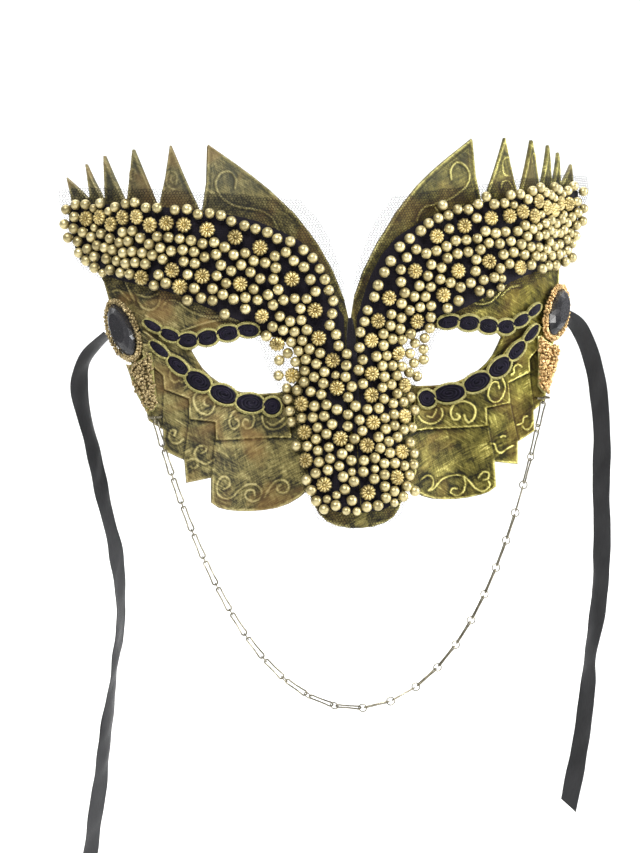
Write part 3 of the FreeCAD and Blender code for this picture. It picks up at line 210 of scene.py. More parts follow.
BEADS = {
    "border_beads_left": [
        (-82.4, 54.4), (-87.8, 54.1), (-91.5, 54), (-71.4, 54), (-74.2, 53.8), (-77.5, 52.8), (-95, 52.5), (-68, 52), (-64.7, 51.8),
        (-55.3, 50.9), (-59.2, 50.8), (-47.9, 49.2), (-51.8, 49), (-44.1, 48.3), (-16.1, 35.8), (-13.1, 33), (-10.8, 29.2), (-9.1, 25.4),
        (-7.7, 21.5), (-6.2, 17.6),
    ],
    "border_beads_right": [
        (79.5, 55.5), (91, 55.5), (72, 55.2), (82.3, 54.6), (87.8, 54.1), (68.6, 54), (74.8, 53.5), (96, 53.5), (63.6, 52.9),
        (60, 52.6), (77.5, 52.6), (50.9, 52.2), (66.5, 51), (57.5, 49.7), (47.8, 49.5), (34.7, 49.4), (53.7, 49.4), (40.2, 47.8),
        (44.2, 47.7), (36.6, 45.8), (32.6, 44.8), (5.8, 13.7), (4.4, 9.7), (2.7, 6),
    ],
    "brow_beads_left": [
        (-92.3, 50), (-95.8, 47.7), (-92.7, 46.1), (-40.6, 46.1), (-89.4, 44.6), (-36, 44.4), (-72.5, 44.2), (-75.4, 43.9), (-82.8, 43.7),
        (-94.7, 43.1), (-32.1, 43.1), (-86.4, 42.7), (-79.8, 41.9), (-64.9, 41.8), (-27.9, 41.8), (-70.2, 41.6), (-91.5, 41.5), (-61.5, 41.4),
        (-58, 40.7), (-73.9, 40.6), (-76.7, 40.3), (-54.4, 40), (-24.6, 39.6), (-84.4, 39.5), (-67.5, 39.3), (-46.8, 39), (-50.7, 38.7),
        (-20.2, 38.7), (-81.6, 38.6), (-87.9, 38.5), (-64.1, 37.9), (-79, 37.8), (-91.1, 37.4), (-43.3, 37.2), (-72.7, 36.9), (-57.2, 36.8),
        (-75.6, 36.6), (-60.8, 36.6), (-69.8, 36.3), (-53.6, 36), (-85.5, 35.6), (-66.7, 35.4), (-21.9, 35.1), (-36.3, 35), (-46.4, 34.8),
        (-81.2, 34.6), (-40.3, 34.5), (-88.5, 34.3), (-50.2, 34.1), (-63.6, 33.9), (-78, 33.8), (-25.8, 33.8), (-72, 33), (-57.1, 32.8),
        (-75, 32.7), (-69, 32.4), (-33.4, 32.3), (-19.4, 32.2), (-53.5, 32), (-29.4, 31.6), (-85.5, 31.5), (-44.9, 31.1), (-37.9, 31),
        (-80.4, 30.6), (-16.1, 30), (-25.7, 29.9), (-77, 29.5), (-41.5, 29.1), (-74.1, 28.9), (-65.2, 28.5), (-34.8, 28.5), (-56, 28.3),
        (-46.5, 27.5), (-31.5, 26.3), (-26.8, 26.1), (-14, 25.6), (-63, 25.5), (-43.5, 24.9), (-66.9, 24.8), (-54.1, 23.5), (-48.1, 23.2),
        (-34, 22.8), (-25.2, 22.5), (-12.3, 21.4), (-44.8, 21.1), (-29, 20.8), (-52, 20.2), (-37.1, 20), (-56.5, 19.5), (-41.2, 19.5),
        (-48.3, 19.2), (-19.4, 19.2), (-32.8, 19.1), (-15.3, 19), (-23.4, 18.9), (-27.3, 17.3), (-37.3, 16.1), (-17.4, 15.6), (-44.5, 14.5),
        (-24.8, 13.3), (-6.6, 13), (-17, 11.6), (-21, 11.4), (-27.6, 9.8), (-7.4, 9), (-23.5, 8.4), (-15, 7.9), (-19.3, 7.6),
        (-30.1, 6.7), (-5.3, 5.6), (-16.5, 4.3), (-20.4, 4), (-4.6, 1.6), (-14, 1),
    ],
    "brow_beads_right": [
        (92.4, 50), (95.6, 47.6), (92.5, 46.1), (47, 44.5), (89.3, 44.5), (82.8, 43.7), (76.8, 43.4), (28.7, 43.2), (94.7, 43.1),
        (86.4, 42.3), (73.8, 42.2), (79.9, 42.1), (64.9, 41.6), (91.5, 41.5), (36.5, 41), (25.4, 40.7), (68, 40.2), (49.9, 39.8),
        (62, 39.6), (76, 39.6), (84.1, 39.6), (57.4, 39.5), (53.7, 39), (87.9, 38.5), (78.7, 38.4), (81.4, 38.4), (21.1, 38.3),
        (73.4, 38.1), (70.5, 37.6), (65.6, 37.5), (91.1, 37.4), (46.8, 37.3), (42.8, 36.9), (38.8, 36.8), (59.2, 36), (85.5, 35.9),
        (17.6, 35.7), (51.1, 35.6), (75.7, 35.4), (54.9, 35.2), (35.2, 34.9), (63.1, 34.8), (23.6, 34.5), (81.3, 34.3), (88.4, 34.3),
        (66.9, 33.8), (31.4, 33.6), (78.3, 33.6), (70.5, 33.5), (47.8, 33.4), (27.4, 32.9), (43.2, 32.7), (74, 32.4), (39.3, 32.2),
        (20, 32), (60, 32), (85.5, 31.8), (56.2, 31.4), (14.4, 31), (64.4, 31), (35.4, 30.9), (80.4, 30.5), (68.8, 30.3),
        (76.6, 30.2), (46.1, 29.9), (71.9, 29.8), (29.3, 29), (88, 29), (58.3, 28), (18, 27.9), (33.2, 27.7), (84, 27.5),
        (12.1, 27.2), (66.8, 27.2), (74.5, 26.5), (78.5, 26.5), (54.9, 26.4), (45.7, 25.9), (71.5, 25.5), (28, 25.2), (32.7, 23.8),
        (18, 23.6), (52.4, 23.4), (9.8, 22.7), (48.6, 22.7), (36.6, 22.4), (24.8, 22), (43.9, 21.9), (29.3, 21.4), (40.2, 20.6),
        (19.3, 19.8), (47, 19), (8.3, 18.5), (23, 18.3), (27.2, 18.1), (18.1, 16), (39.5, 16), (29.5, 14.8), (25.3, 14.5),
        (35.6, 13.6), (21.2, 13.5), (14.2, 12.2), (17.9, 10.9), (29.4, 10.9), (13.6, 8.1), (29.2, 7), (17.2, 6.9), (10.7, 5.2),
        (21.5, 5.1), (27.3, 3.6), (14, 3.3), (17.8, 3), (23.1, 1.8), (10.6, 1.1),
    ],
    "nose_beads_left": [
        (-17.6, 0.6), (-21.5, 0.1), (-10.5, -0.7), (-2, -1.4), (-24.7, -2.2), (-15.1, -2.7), (-18.6, -3.3), (-11.8, -4.5), (-2.3, -5.5),
        (-15.4, -6.8), (-9.3, -7.5), (-24.8, -8), (-12.6, -9.2), (-2.7, -9.6), (-15.7, -11), (-9.8, -11.7), (-21.5, -13.1), (-0.9, -13.2),
        (-18, -14), (-13.8, -14.5), (-10.6, -15.7), (-2.3, -17), (-21.3, -17.3), (-9.2, -19.4), (-12.9, -19.8), (-0.1, -20.2), (-6, -21.2),
        (-21, -21.6), (-2.7, -23.1), (-10.2, -23.4), (-13.7, -23.8), (-17.1, -24), (-20.7, -25.5), (-7.9, -26.3), (-3, -27.1), (-12.5, -27.4),
        (-9.9, -29.7), (-13.2, -31.4), (-1.2, -31.6), (-19.8, -33.8), (-16.2, -33.8), (-9.5, -34.2), (-13, -35.3), (-5.6, -36.6), (-9.4, -38.1),
        (-2.7, -39), (-12.9, -39.2), (-6.7, -40.7), (-10.3, -41.9), (-14.2, -43), (-5.7, -44.4), (-17.3, -45.2), (-2.3, -46.2), (-5.3, -48.7),
        (-16, -48.8), (-14.6, -52.4), (-3.3, -52.6), (-8.5, -54.1), (-12.2, -55.3),
    ],
    "nose_beads_right": [
        (2.2, 0.6), (26.9, -0.3), (20.8, -2), (11.6, -2.7), (7.9, -2.8), (3.1, -3.7), (27.2, -4.3), (22.4, -5.6), (9.8, -6.3),
        (13.5, -6.4), (17.1, -6.9), (1.6, -7.4), (19.9, -9.2), (14.9, -10.2), (10.3, -10.3), (23.5, -10.9), (2.7, -12.4), (12.7, -13.3),
        (9.4, -14.2), (14.6, -16.8), (9.7, -18.3), (19.9, -18.8), (16.8, -20.1), (12.9, -20.2), (7.6, -21.5), (3.7, -21.6), (21.5, -23.5),
        (12.9, -24.2), (0.9, -25.1), (9.6, -25.1), (12.9, -28.1), (1.6, -29), (9.6, -29), (19.8, -29.6), (16.2, -29.9), (6.9, -31.5),
        (13.6, -32.2), (10.3, -33.4), (18.4, -34.6), (7.3, -35.4), (10.5, -37.3), (19.6, -38.4), (5.2, -38.6), (1.5, -39.2), (8.4, -40.7),
        (12, -41), (15.5, -42.2), (19.1, -42.2), (1, -43.1), (8.2, -44.6), (4.6, -45.7), (17.3, -45.7), (8, -48.6), (16, -49.3),
        (11.3, -50.5), (19.1, -51.3), (8.2, -52.5), (14.4, -52.7), (5.3, -54.9), (1.5, -55.1),
    ],
}

FLOWERS = {
    "brow_flowers_left": [
        (-83, 49.5), (-88, 49.3), (-75.4, 49), (-71.1, 49), (-79.3, 46.9), (-62, 46.4), (-67.1, 46), (-56.6, 45.5), (-49, 43.5),
        (-39.5, 40.5), (-30.9, 36.7), (-60.9, 30), (-70.6, 27.6), (-51.3, 27.6), (-20.3, 26), (-38.6, 24.6), (-58.7, 24.2), (-12.4, 14.7),
        (-31.5, 13.5), (-11, 4.7), (-25.8, 3.7),
    ],
    "brow_flowers_right": [
        (71.3, 50.4), (83.1, 49.6), (88.1, 49.3), (75.3, 48), (79.3, 47.1), (64.4, 46.6), (59.3, 45.1), (69.2, 45), (52.4, 44.5),
        (42.4, 41.9), (31.7, 38.6), (50.9, 29.1), (23.2, 27.2), (62.6, 26.5), (39.5, 26.3), (34, 18.3), (13.6, 18), (9.2, 9.9),
        (24.2, 9.6), (6.4, 3),
    ],
    "nose_flowers": [
        (16.1, -2), (-6.6, -3.5), (-19.5, -8.3), (6, -8.9), (-5.6, -13.5), (17.9, -14), (5.4, -16.6), (-16.9, -18.9), (17.1, -25.2),
        (5.4, -26.3), (-16.7, -29), (-5.7, -31.3), (2.9, -34.1), (15, -37.3), (-17.2, -38.6), (12.6, -45.9), (-11.8, -46.9), (2.2, -50.2),
    ],
}

SMALL = {
    "brow_beads_left": [
        (-85.2, 46), (-85.2, 52.8), (-83.2, 29.6), (-80, 51.5),
    ],
    "nose_beads_left": [
        (-11.2, -51.9), (-8.1, -50.6), (-5.2, -56.1), (-5.8, -8.8), (-3, -34.5), (-1.8, -56.4), (-2.7, -42.9),
    ],
    "brow_beads_right": [
        (85.2, 45.5), (85, 53), (83.1, 30.9), (80, 51.5), (71.2, 41.1), (72.6, 45.5), (61.2, 49.1), (55, 19.8), (55.6, 22.9),
        (51, 17.9),
    ],
    "nose_beads_right": [
        (11.2, -54.5), (5.1, -42.3),
    ],
}


# ------------------------------------------------------------ plane geometry
def resample(points, step, closed=True):
    out = []
    pts = list(points) + ([points[0]] if closed else [])
    for (x0, z0), (x1, z1) in zip(pts, pts[1:]):
        n = max(1, int(math.ceil(math.hypot(x1 - x0, z1 - z0) / step)))
        for k in range(n):
            out.append((x0 + (x1 - x0) * k / n, z0 + (z1 - z0) * k / n))
    if not closed:
        out.append(tuple(points[-1]))
    return out


def curl(points, step=0.5):
    """A smooth line through the points."""
    p = np.array([points[0]] + list(points) + [points[-1]], float)
    out = []
    for i in range(1, len(p) - 2):
        a, b, c, d = p[i - 1], p[i], p[i + 1], p[i + 2]
        n = max(2, int(np.linalg.norm(c - b) / step))
        for k in range(n):
            t = k / n
            out.append(0.5 * (2 * b + (c - a) * t + (2 * a - 5 * b + 4 * c - d) * t * t + (3 * b - a - 3 * c + d) * t ** 3))
    out.append(p[-2])
    return np.array(out)


def near(x, z, line, closed):
    """Distance from each place to a line of segments."""
    q = np.array(line, float)
    a, b = (q, np.roll(q, -1, 0)) if closed else (q[:-1], q[1:])
    d = b - a
    ll = np.maximum((d * d).sum(1), 1e-12)
    best = np.full(len(x), 1e9)
    for s in range(0, len(x), 8000):
        px, pz = x[s:s + 8000, None], z[s:s + 8000, None]
        t = np.clip(((px - a[None, :, 0]) * d[None, :, 0] + (pz - a[None, :, 1]) * d[None, :, 1]) / ll, 0, 1)
        e = (px - a[None, :, 0] - t * d[None, :, 0]) ** 2 + (pz - a[None, :, 1] - t * d[None, :, 1]) ** 2
        best[s:s + 8000] = np.sqrt(e.min(1))
    return best


def inside(x, z, poly):
    hit = np.zeros(len(x), bool)
    n = len(poly)
    for i in range(n):
        (x0, z0), (x1, z1) = poly[i], poly[(i + 1) % n]
        if z0 == z1:
            continue
        c = (z0 > z) != (z1 > z)
        hit ^= c & (x < (x1 - x0) * (z - z0) / (z1 - z0) + x0)
    return hit


def lattice(x0, x1, z0, z1, step):
    rows = int((z1 - z0) / (step * 0.866)) + 1
    cols = int((x1 - x0) / step) + 1
    j, i = np.meshgrid(np.arange(rows), np.arange(cols), indexing="ij")
    x = x0 + (i + 0.5 * (j % 2)) * step
    z = z0 + j * step * 0.866
    return x.ravel(), z.ravel()


def triangulate(outer, holes, step, dense=None, fine=None, rim=0.6, extra=()):
    """Points and triangles filling an outline, with holes left open.  dense(x, z) marks where the fine lattice goes."""
    loops = [resample(outer, rim)] + [resample(h, rim) for h in holes]
    xs, zs = lattice(min(p[0] for p in outer), max(p[0] for p in outer), min(p[1] for p in outer), max(p[1] for p in outer), step)
    if dense is not None:
        keep = ~dense(xs, zs)
        fx, fz = lattice(min(p[0] for p in outer), max(p[0] for p in outer), min(p[1] for p in outer), max(p[1] for p in outer), fine)
        more = dense(fx, fz)
        xs, zs = np.concatenate([xs[keep], fx[more]]), np.concatenate([zs[keep], fz[more]])
    ok = inside(xs, zs, outer)
    for h in holes:
        ok &= ~inside(xs, zs, h)
    xs, zs = xs[ok], zs[ok]
    d = np.minimum.reduce([near(xs, zs, loop, True) for loop in loops])
    for e in extra:
        d = np.minimum(d, near(xs, zs, e, False))
    ok = d > 0.45 * (fine or step)
    xs, zs = xs[ok], zs[ok]
    pts, edges = [], []
    for loop in loops:
        k0 = len(pts)
        pts += [Vector(p) for p in loop]
        edges += [(k0 + k, k0 + (k + 1) % len(loop)) for k in range(len(loop))]
    for e in extra:
        pts += [Vector(p) for p in e]
    pts += [Vector((float(a), float(b))) for a, b in zip(xs, zs)]
    verts, _, tris, _, _, _ = delaunay_2d_cdt(pts, edges, [], 0, 1e-6)
    v = np.array([(p.x, p.y) for p in verts])
    t = np.array([tuple(f) for f in tris], int)
    c = v[t].mean(1)
    ok = inside(c[:, 0], c[:, 1], outer)
    for h in holes:
        ok &= ~inside(c[:, 0], c[:, 1], h)
    t = t[ok]
    area = np.cross(v[t[:, 1]] - v[t[:, 0]], v[t[:, 2]] - v[t[:, 0]])
    t = t[np.abs(area) > 1e-9]
    area = area[np.abs(area) > 1e-9]
    t[area < 0] = t[area < 0][:, ::-1]
    used, t = np.unique(t, return_inverse=True)
    return v[used], t.reshape(-1, 3)


def rim_edges(t):
    """Edges used once, in the order of their own triangle."""
    e = np.concatenate([t[:, [0, 1]], t[:, [1, 2]], t[:, [2, 0]]])
    key = np.sort(e, 1)
    _, first, count = np.unique(key, axis=0, return_index=True, return_counts=True)
    return e[first[count == 1]]


# ------------------------------------------------------------ mesh making
def add_mesh(name, verts, faces, mats, index=None, smooth=True, sharp=None, body="root", slot=None, replaces=()):
    """verts in millimetres; faces a list of arrays of equal-sided faces."""
    verts = np.asarray(verts, float)
    faces = [np.asarray(f, np.int32) for f in faces if len(f)]
    me = bpy.data.meshes.new(name)
    me.vertices.add(len(verts))
    me.vertices.foreach_set("co", (verts * MM).astype(np.float32).ravel())
    loops = np.concatenate([f.ravel() for f in faces])
    sizes = np.concatenate([np.full(len(f), f.shape[1], np.int32) for f in faces])
    me.loops.add(len(loops))
    me.loops.foreach_set("vertex_index", loops)
    me.polygons.add(len(sizes))
    me.polygons.foreach_set("loop_start", np.concatenate([[0], np.cumsum(sizes)[:-1]]).astype(np.int32))
    for m in (mats if isinstance(mats, (list, tuple)) else [mats]):
        me.materials.append(m)
    if index is not None:
        me.polygons.foreach_set("material_index", np.asarray(index, np.int32))
    me.polygons.foreach_set("use_smooth", np.full(len(sizes), bool(smooth)))
    me.update(calc_edges=True)
    me.validate()
    if smooth and sharp:
        me.set_sharp_from_angle(angle=math.radians(sharp))
    ob = bpy.data.objects.new(name, me)
    scene.collection.objects.link(ob)
    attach(ob, body)
    if replaces:
        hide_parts(*replaces)
    return ob


def float_layer(ob, name, values):
    a = ob.data.attributes.new(name, "FLOAT", "POINT")
    a.data.foreach_set("value", np.asarray(values, np.float32))


class Heap:
    """Gathers many small meshes into one."""

    def __init__(self):
        self.v, self.t, self.q, self.n = [], [], [], 0
        self.mt, self.mq = [], []

    def add(self, v, t=(), q=(), m=0):
        self.v.append(np.asarray(v, float))
        if len(t):
            self.t.append(np.asarray(t, int) + self.n)
            self.mt.append(np.full(len(t), m))
        if len(q):
            self.q.append(np.asarray(q, int) + self.n)
            self.mq.append(np.full(len(q), m))
        self.n += len(v)

    def make(self, name, mats, **more):
        faces, index = [], []
        if self.t:
            faces.append(np.concatenate(self.t))
            index.append(np.concatenate(self.mt))
        if self.q:
            faces.append(np.concatenate(self.q))
            index.append(np.concatenate(self.mq))
        return add_mesh(name, np.concatenate(self.v), faces, mats, index=np.concatenate(index), **more)


def skin(poly, off0, off1, step, name, mats, ripple=0.0, **more):
    """A closed thin sheet over the moulding, inside an outline."""
    v, t = triangulate(poly, [], step, rim=min(step, 1.0))
    edge = near(v[:, 0], v[:, 1], poly, True)
    w = ripple * (np.sin(v[:, 0] * 0.9 + 1.3 * np.sin(v[:, 1] * 0.7)) * np.cos(v[:, 1] * 1.1 + 0.6 * np.sin(v[:, 0] * 0.8)))
    soft = np.clip(edge / 0.5, 0, 1)
    mid = 0.5 * (off0 + off1)
    front = point(v[:, 0], v[:, 1], mid + (off1 + w - mid) * (0.35 + 0.65 * soft))
    back = point(v[:, 0], v[:, 1], mid + (off0 - mid) * (0.35 + 0.65 * soft))
    n = len(v)
    e = rim_edges(t)
    return add_mesh(name, np.concatenate([front, back]), [np.concatenate([t, t[:, ::-1] + n]), np.stack([e[:, 1], e[:, 0], e[:, 0] + n, e[:, 1] + n], 1)],
                    mats, sharp=50, **more)


def tube(path, radius, segs=8, closed=False, ref=None):
    """A round tube along a path, its ends closed."""
    p = np.asarray(path, float)
    n = len(p)
    if closed:
        d = np.roll(p, -1, 0) - np.roll(p, 1, 0)
    else:
        d = np.gradient(p, axis=0)
    d /= np.maximum(np.linalg.norm(d, axis=1, keepdims=True), 1e-9)
    u = np.zeros_like(p)
    start = np.array(ref if ref is not None else (0.0, 1.0, 0.0), float)
    if abs(start @ d[0]) > 0.9:
        start = np.array([1.0, 0.0, 0.0])
    cur = start - d[0] * (start @ d[0])
    cur /= np.linalg.norm(cur)
    for k in range(n):
        cur = cur - d[k] * (cur @ d[k])
        cur /= max(np.linalg.norm(cur), 1e-9)
        u[k] = cur
    w = np.cross(d, u)
    r = np.broadcast_to(np.asarray(radius, float), (n,))
    a = 2 * np.pi * np.arange(segs) / segs
    ring = (u[:, None, :] * np.cos(a)[None, :, None] + w[:, None, :] * np.sin(a)[None, :, None]) * r[:, None, None] + p[:, None, :]
    v = ring.reshape(-1, 3)
    rows = np.arange(n if closed else n - 1)
    i, j = np.meshgrid(rows, np.arange(segs), indexing="ij")
    i2, j2 = (i + 1) % n, (j + 1) % segs
    q = np.stack([i * segs + j, i * segs + j2, i2 * segs + j2, i2 * segs + j], -1).reshape(-1, 4)
    t = np.zeros((0, 3), int)
    if not closed:
        v = np.concatenate([v, [p[0] - d[0] * r[0] * 0.4], [p[-1] + d[-1] * r[-1] * 0.4]])
        k = np.arange(segs)
        k2 = (k + 1) % segs
        t = np.concatenate([np.stack([k2, k, np.full(segs, n * segs)], 1),
                            np.stack([(n - 1) * segs + k, (n - 1) * segs + k2, np.full(segs, n * segs + 1)], 1)])
    return v, t, q


def prisms(a, b, radius, sides=4):
    """Many short closed threads at once, one from each a to each b."""
    a, b = np.asarray(a, float), np.asarray(b, float)
    d = b - a
    d /= np.maximum(np.linalg.norm(d, axis=1, keepdims=True), 1e-9)
    ref = np.where(np.abs(d[:, 1:2]) > 0.9, [[1.0, 0, 0]], [[0.0, 1.0, 0]])
    u = ref - d * (ref * d).sum(1, keepdims=True)
    u /= np.linalg.norm(u, axis=1, keepdims=True)
    w = np.cross(d, u)
    ang = 2 * np.pi * np.arange(sides) / sides
    ring = (u[:, None, :] * np.cos(ang)[None, :, None] + w[:, None, :] * np.sin(ang)[None, :, None]) * radius
    v = np.concatenate([a[:, None, :] + ring, b[:, None, :] + ring], 1)
    m = len(a)
    base = np.arange(m)[:, None] * 2 * sides
    k = np.arange(sides)
    q = np.stack([k, (k + 1) % sides, (k + 1) % sides + sides, k + sides], 1)
    quads = (base[:, None, :] + q[None, :, :]).reshape(-1, 4)
    if sides == 4:
        caps = np.concatenate([base + np.array([[3, 2, 1, 0]]), base + np.array([[4, 5, 6, 7]])])
        return v.reshape(-1, 3), np.zeros((0, 3), int), np.concatenate([quads, caps])
    caps = np.concatenate([base + np.array([[2, 1, 0]]), base + np.array([[3, 4, 5]])])
    return v.reshape(-1, 3), caps, quads


def lathe(profile, lons, shape=None):
    """A closed turned body about Z from (radius, height) rows; the first and last rows are on the axis."""
    prof = np.array(profile, float)
    a = 2 * np.pi * np.arange(lons) / lons
    v = [[0, 0, prof[0, 1]]]
    for r, h in prof[1:-1, :2]:
        v += [[r * math.cos(x), r * math.sin(x), h] for x in a]
    v.append([0, 0, prof[-1, 1]])
    v = np.array(v)
    rows = len(prof) - 2
    q, t = [], []
    for i in range(rows - 1):
        for j in range(lons):
            j2 = (j + 1) % lons
            q.append([1 + i * lons + j, 1 + (i + 1) * lons + j, 1 + (i + 1) * lons + j2, 1 + i * lons + j2])
    for j in range(lons):
        j2 = (j + 1) % lons
        t.append([0, 1 + j, 1 + j2])
        t.append([len(v) - 1, 1 + (rows - 1) * lons + j2, 1 + (rows - 1) * lons + j])
    return v, np.array(t), np.array(q)

# ------------------------------------------------------------ materials
class Nodes:
    def __init__(self, name):
        self.m = bpy.data.materials.new(name)
        self.m.use_nodes = True
        self.t = self.m.node_tree
        self.b = self.t.nodes["Principled BSDF"]
        self.co = self.t.nodes.new("ShaderNodeTexCoord").outputs["Object"]

    def set(self, **k):
        for name, value in k.items():
            self.b.inputs[name.replace("_", " ")].default_value = value
        return self

    def link(self, a, b):
        self.t.links.new(a, b)

    def to(self, out, name):
        self.link(out, self.b.inputs[name])

    def mapping(self, scale=(1, 1, 1), rot=(0, 0, 0)):
        """Turned first, then stretched, so that strokes run along the turned axes."""
        r = self.t.nodes.new("ShaderNodeMapping")
        r.inputs["Rotation"].default_value = rot
        self.link(self.co, r.inputs["Vector"])
        n = self.t.nodes.new("ShaderNodeMapping")
        n.inputs["Scale"].default_value = scale
        self.link(r.outputs["Vector"], n.inputs["Vector"])
        return n.outputs["Vector"]

    def axis(self, k):
        n = self.t.nodes.new("ShaderNodeSeparateXYZ")
        self.link(self.co, n.inputs[0])
        return n.outputs[k]

    def noise(self, scale, detail=4, rough=0.55, vector=None, distortion=0.0):
        n = self.t.nodes.new("ShaderNodeTexNoise")
        n.inputs["Scale"].default_value = scale
        n.inputs["Detail"].default_value = detail
        n.inputs["Roughness"].default_value = rough
        n.inputs["Distortion"].default_value = distortion
        self.link(vector or self.co, n.inputs["Vector"])
        return n.outputs["Fac"]

    def voronoi(self, scale, vector=None, feature="F1"):
        n = self.t.nodes.new("ShaderNodeTexVoronoi")
        n.feature = feature
        n.inputs["Scale"].default_value = scale
        self.link(vector or self.co, n.inputs["Vector"])
        return n.outputs["Distance"]

    def wave(self, scale, vector=None, distortion=0.0, direction="X"):
        n = self.t.nodes.new("ShaderNodeTexWave")
        n.bands_direction = direction
        n.inputs["Scale"].default_value = scale
        n.inputs["Distortion"].default_value = distortion
        self.link(vector or self.co, n.inputs["Vector"])
        return n.outputs["Fac"]

    def attribute(self, name):
        n = self.t.nodes.new("ShaderNodeAttribute")
        n.attribute_name = name
        return n.outputs["Fac"]

    def ramp(self, fac, stops, mode="LINEAR"):
        n = self.t.nodes.new("ShaderNodeValToRGB")
        n.color_ramp.interpolation = mode
        e = n.color_ramp.elements
        while len(e) > 2:
            e.remove(e[-1])
        for k, (pos, colour) in enumerate(stops):
            if k < 2:
                e[k].position = pos
            else:
                e.new(pos)
            e[k].color = (*colour, 1) if len(colour) == 3 else colour
        self.link(fac, n.inputs["Fac"])
        return n.outputs["Color"]

    def math(self, op, a, b=0.0, clamp=False):
        n = self.t.nodes.new("ShaderNodeMath")
        n.operation = op
        n.use_clamp = clamp
        for k, v in enumerate((a, b)):
            if isinstance(v, (int, float)):
                n.inputs[k].default_value = v
            else:
                self.link(v, n.inputs[k])
        return n.outputs[0]

    def mix(self, fac, a, b, mode="MIX"):
        n = self.t.nodes.new("ShaderNodeMix")
        n.data_type = "RGBA"
        n.blend_type = mode
        for k, v in ((0, fac), (6, a), (7, b)):
            if isinstance(v, (int, float)):
                n.inputs[k].default_value = v
            elif isinstance(v, tuple):
                n.inputs[k].default_value = (*v, 1)
            else:
                self.link(v, n.inputs[k])
        return n.outputs[2]

    def span(self, fac, a0, a1, b0, b1):
        n = self.t.nodes.new("ShaderNodeMapRange")
        for k, v in enumerate((a0, a1, b0, b1)):
            n.inputs[k + 1].default_value = v
        self.link(fac, n.inputs[0])
        return n.outputs[0]

    def bump(self, h, strength, distance):
        n = self.t.nodes.new("ShaderNodeBump")
        n.inputs["Strength"].default_value = strength
        n.inputs["Distance"].default_value = distance
        self.link(h, n.inputs["Height"])
        self.link(n.outputs["Normal"], self.b.inputs["Normal"])
        return self


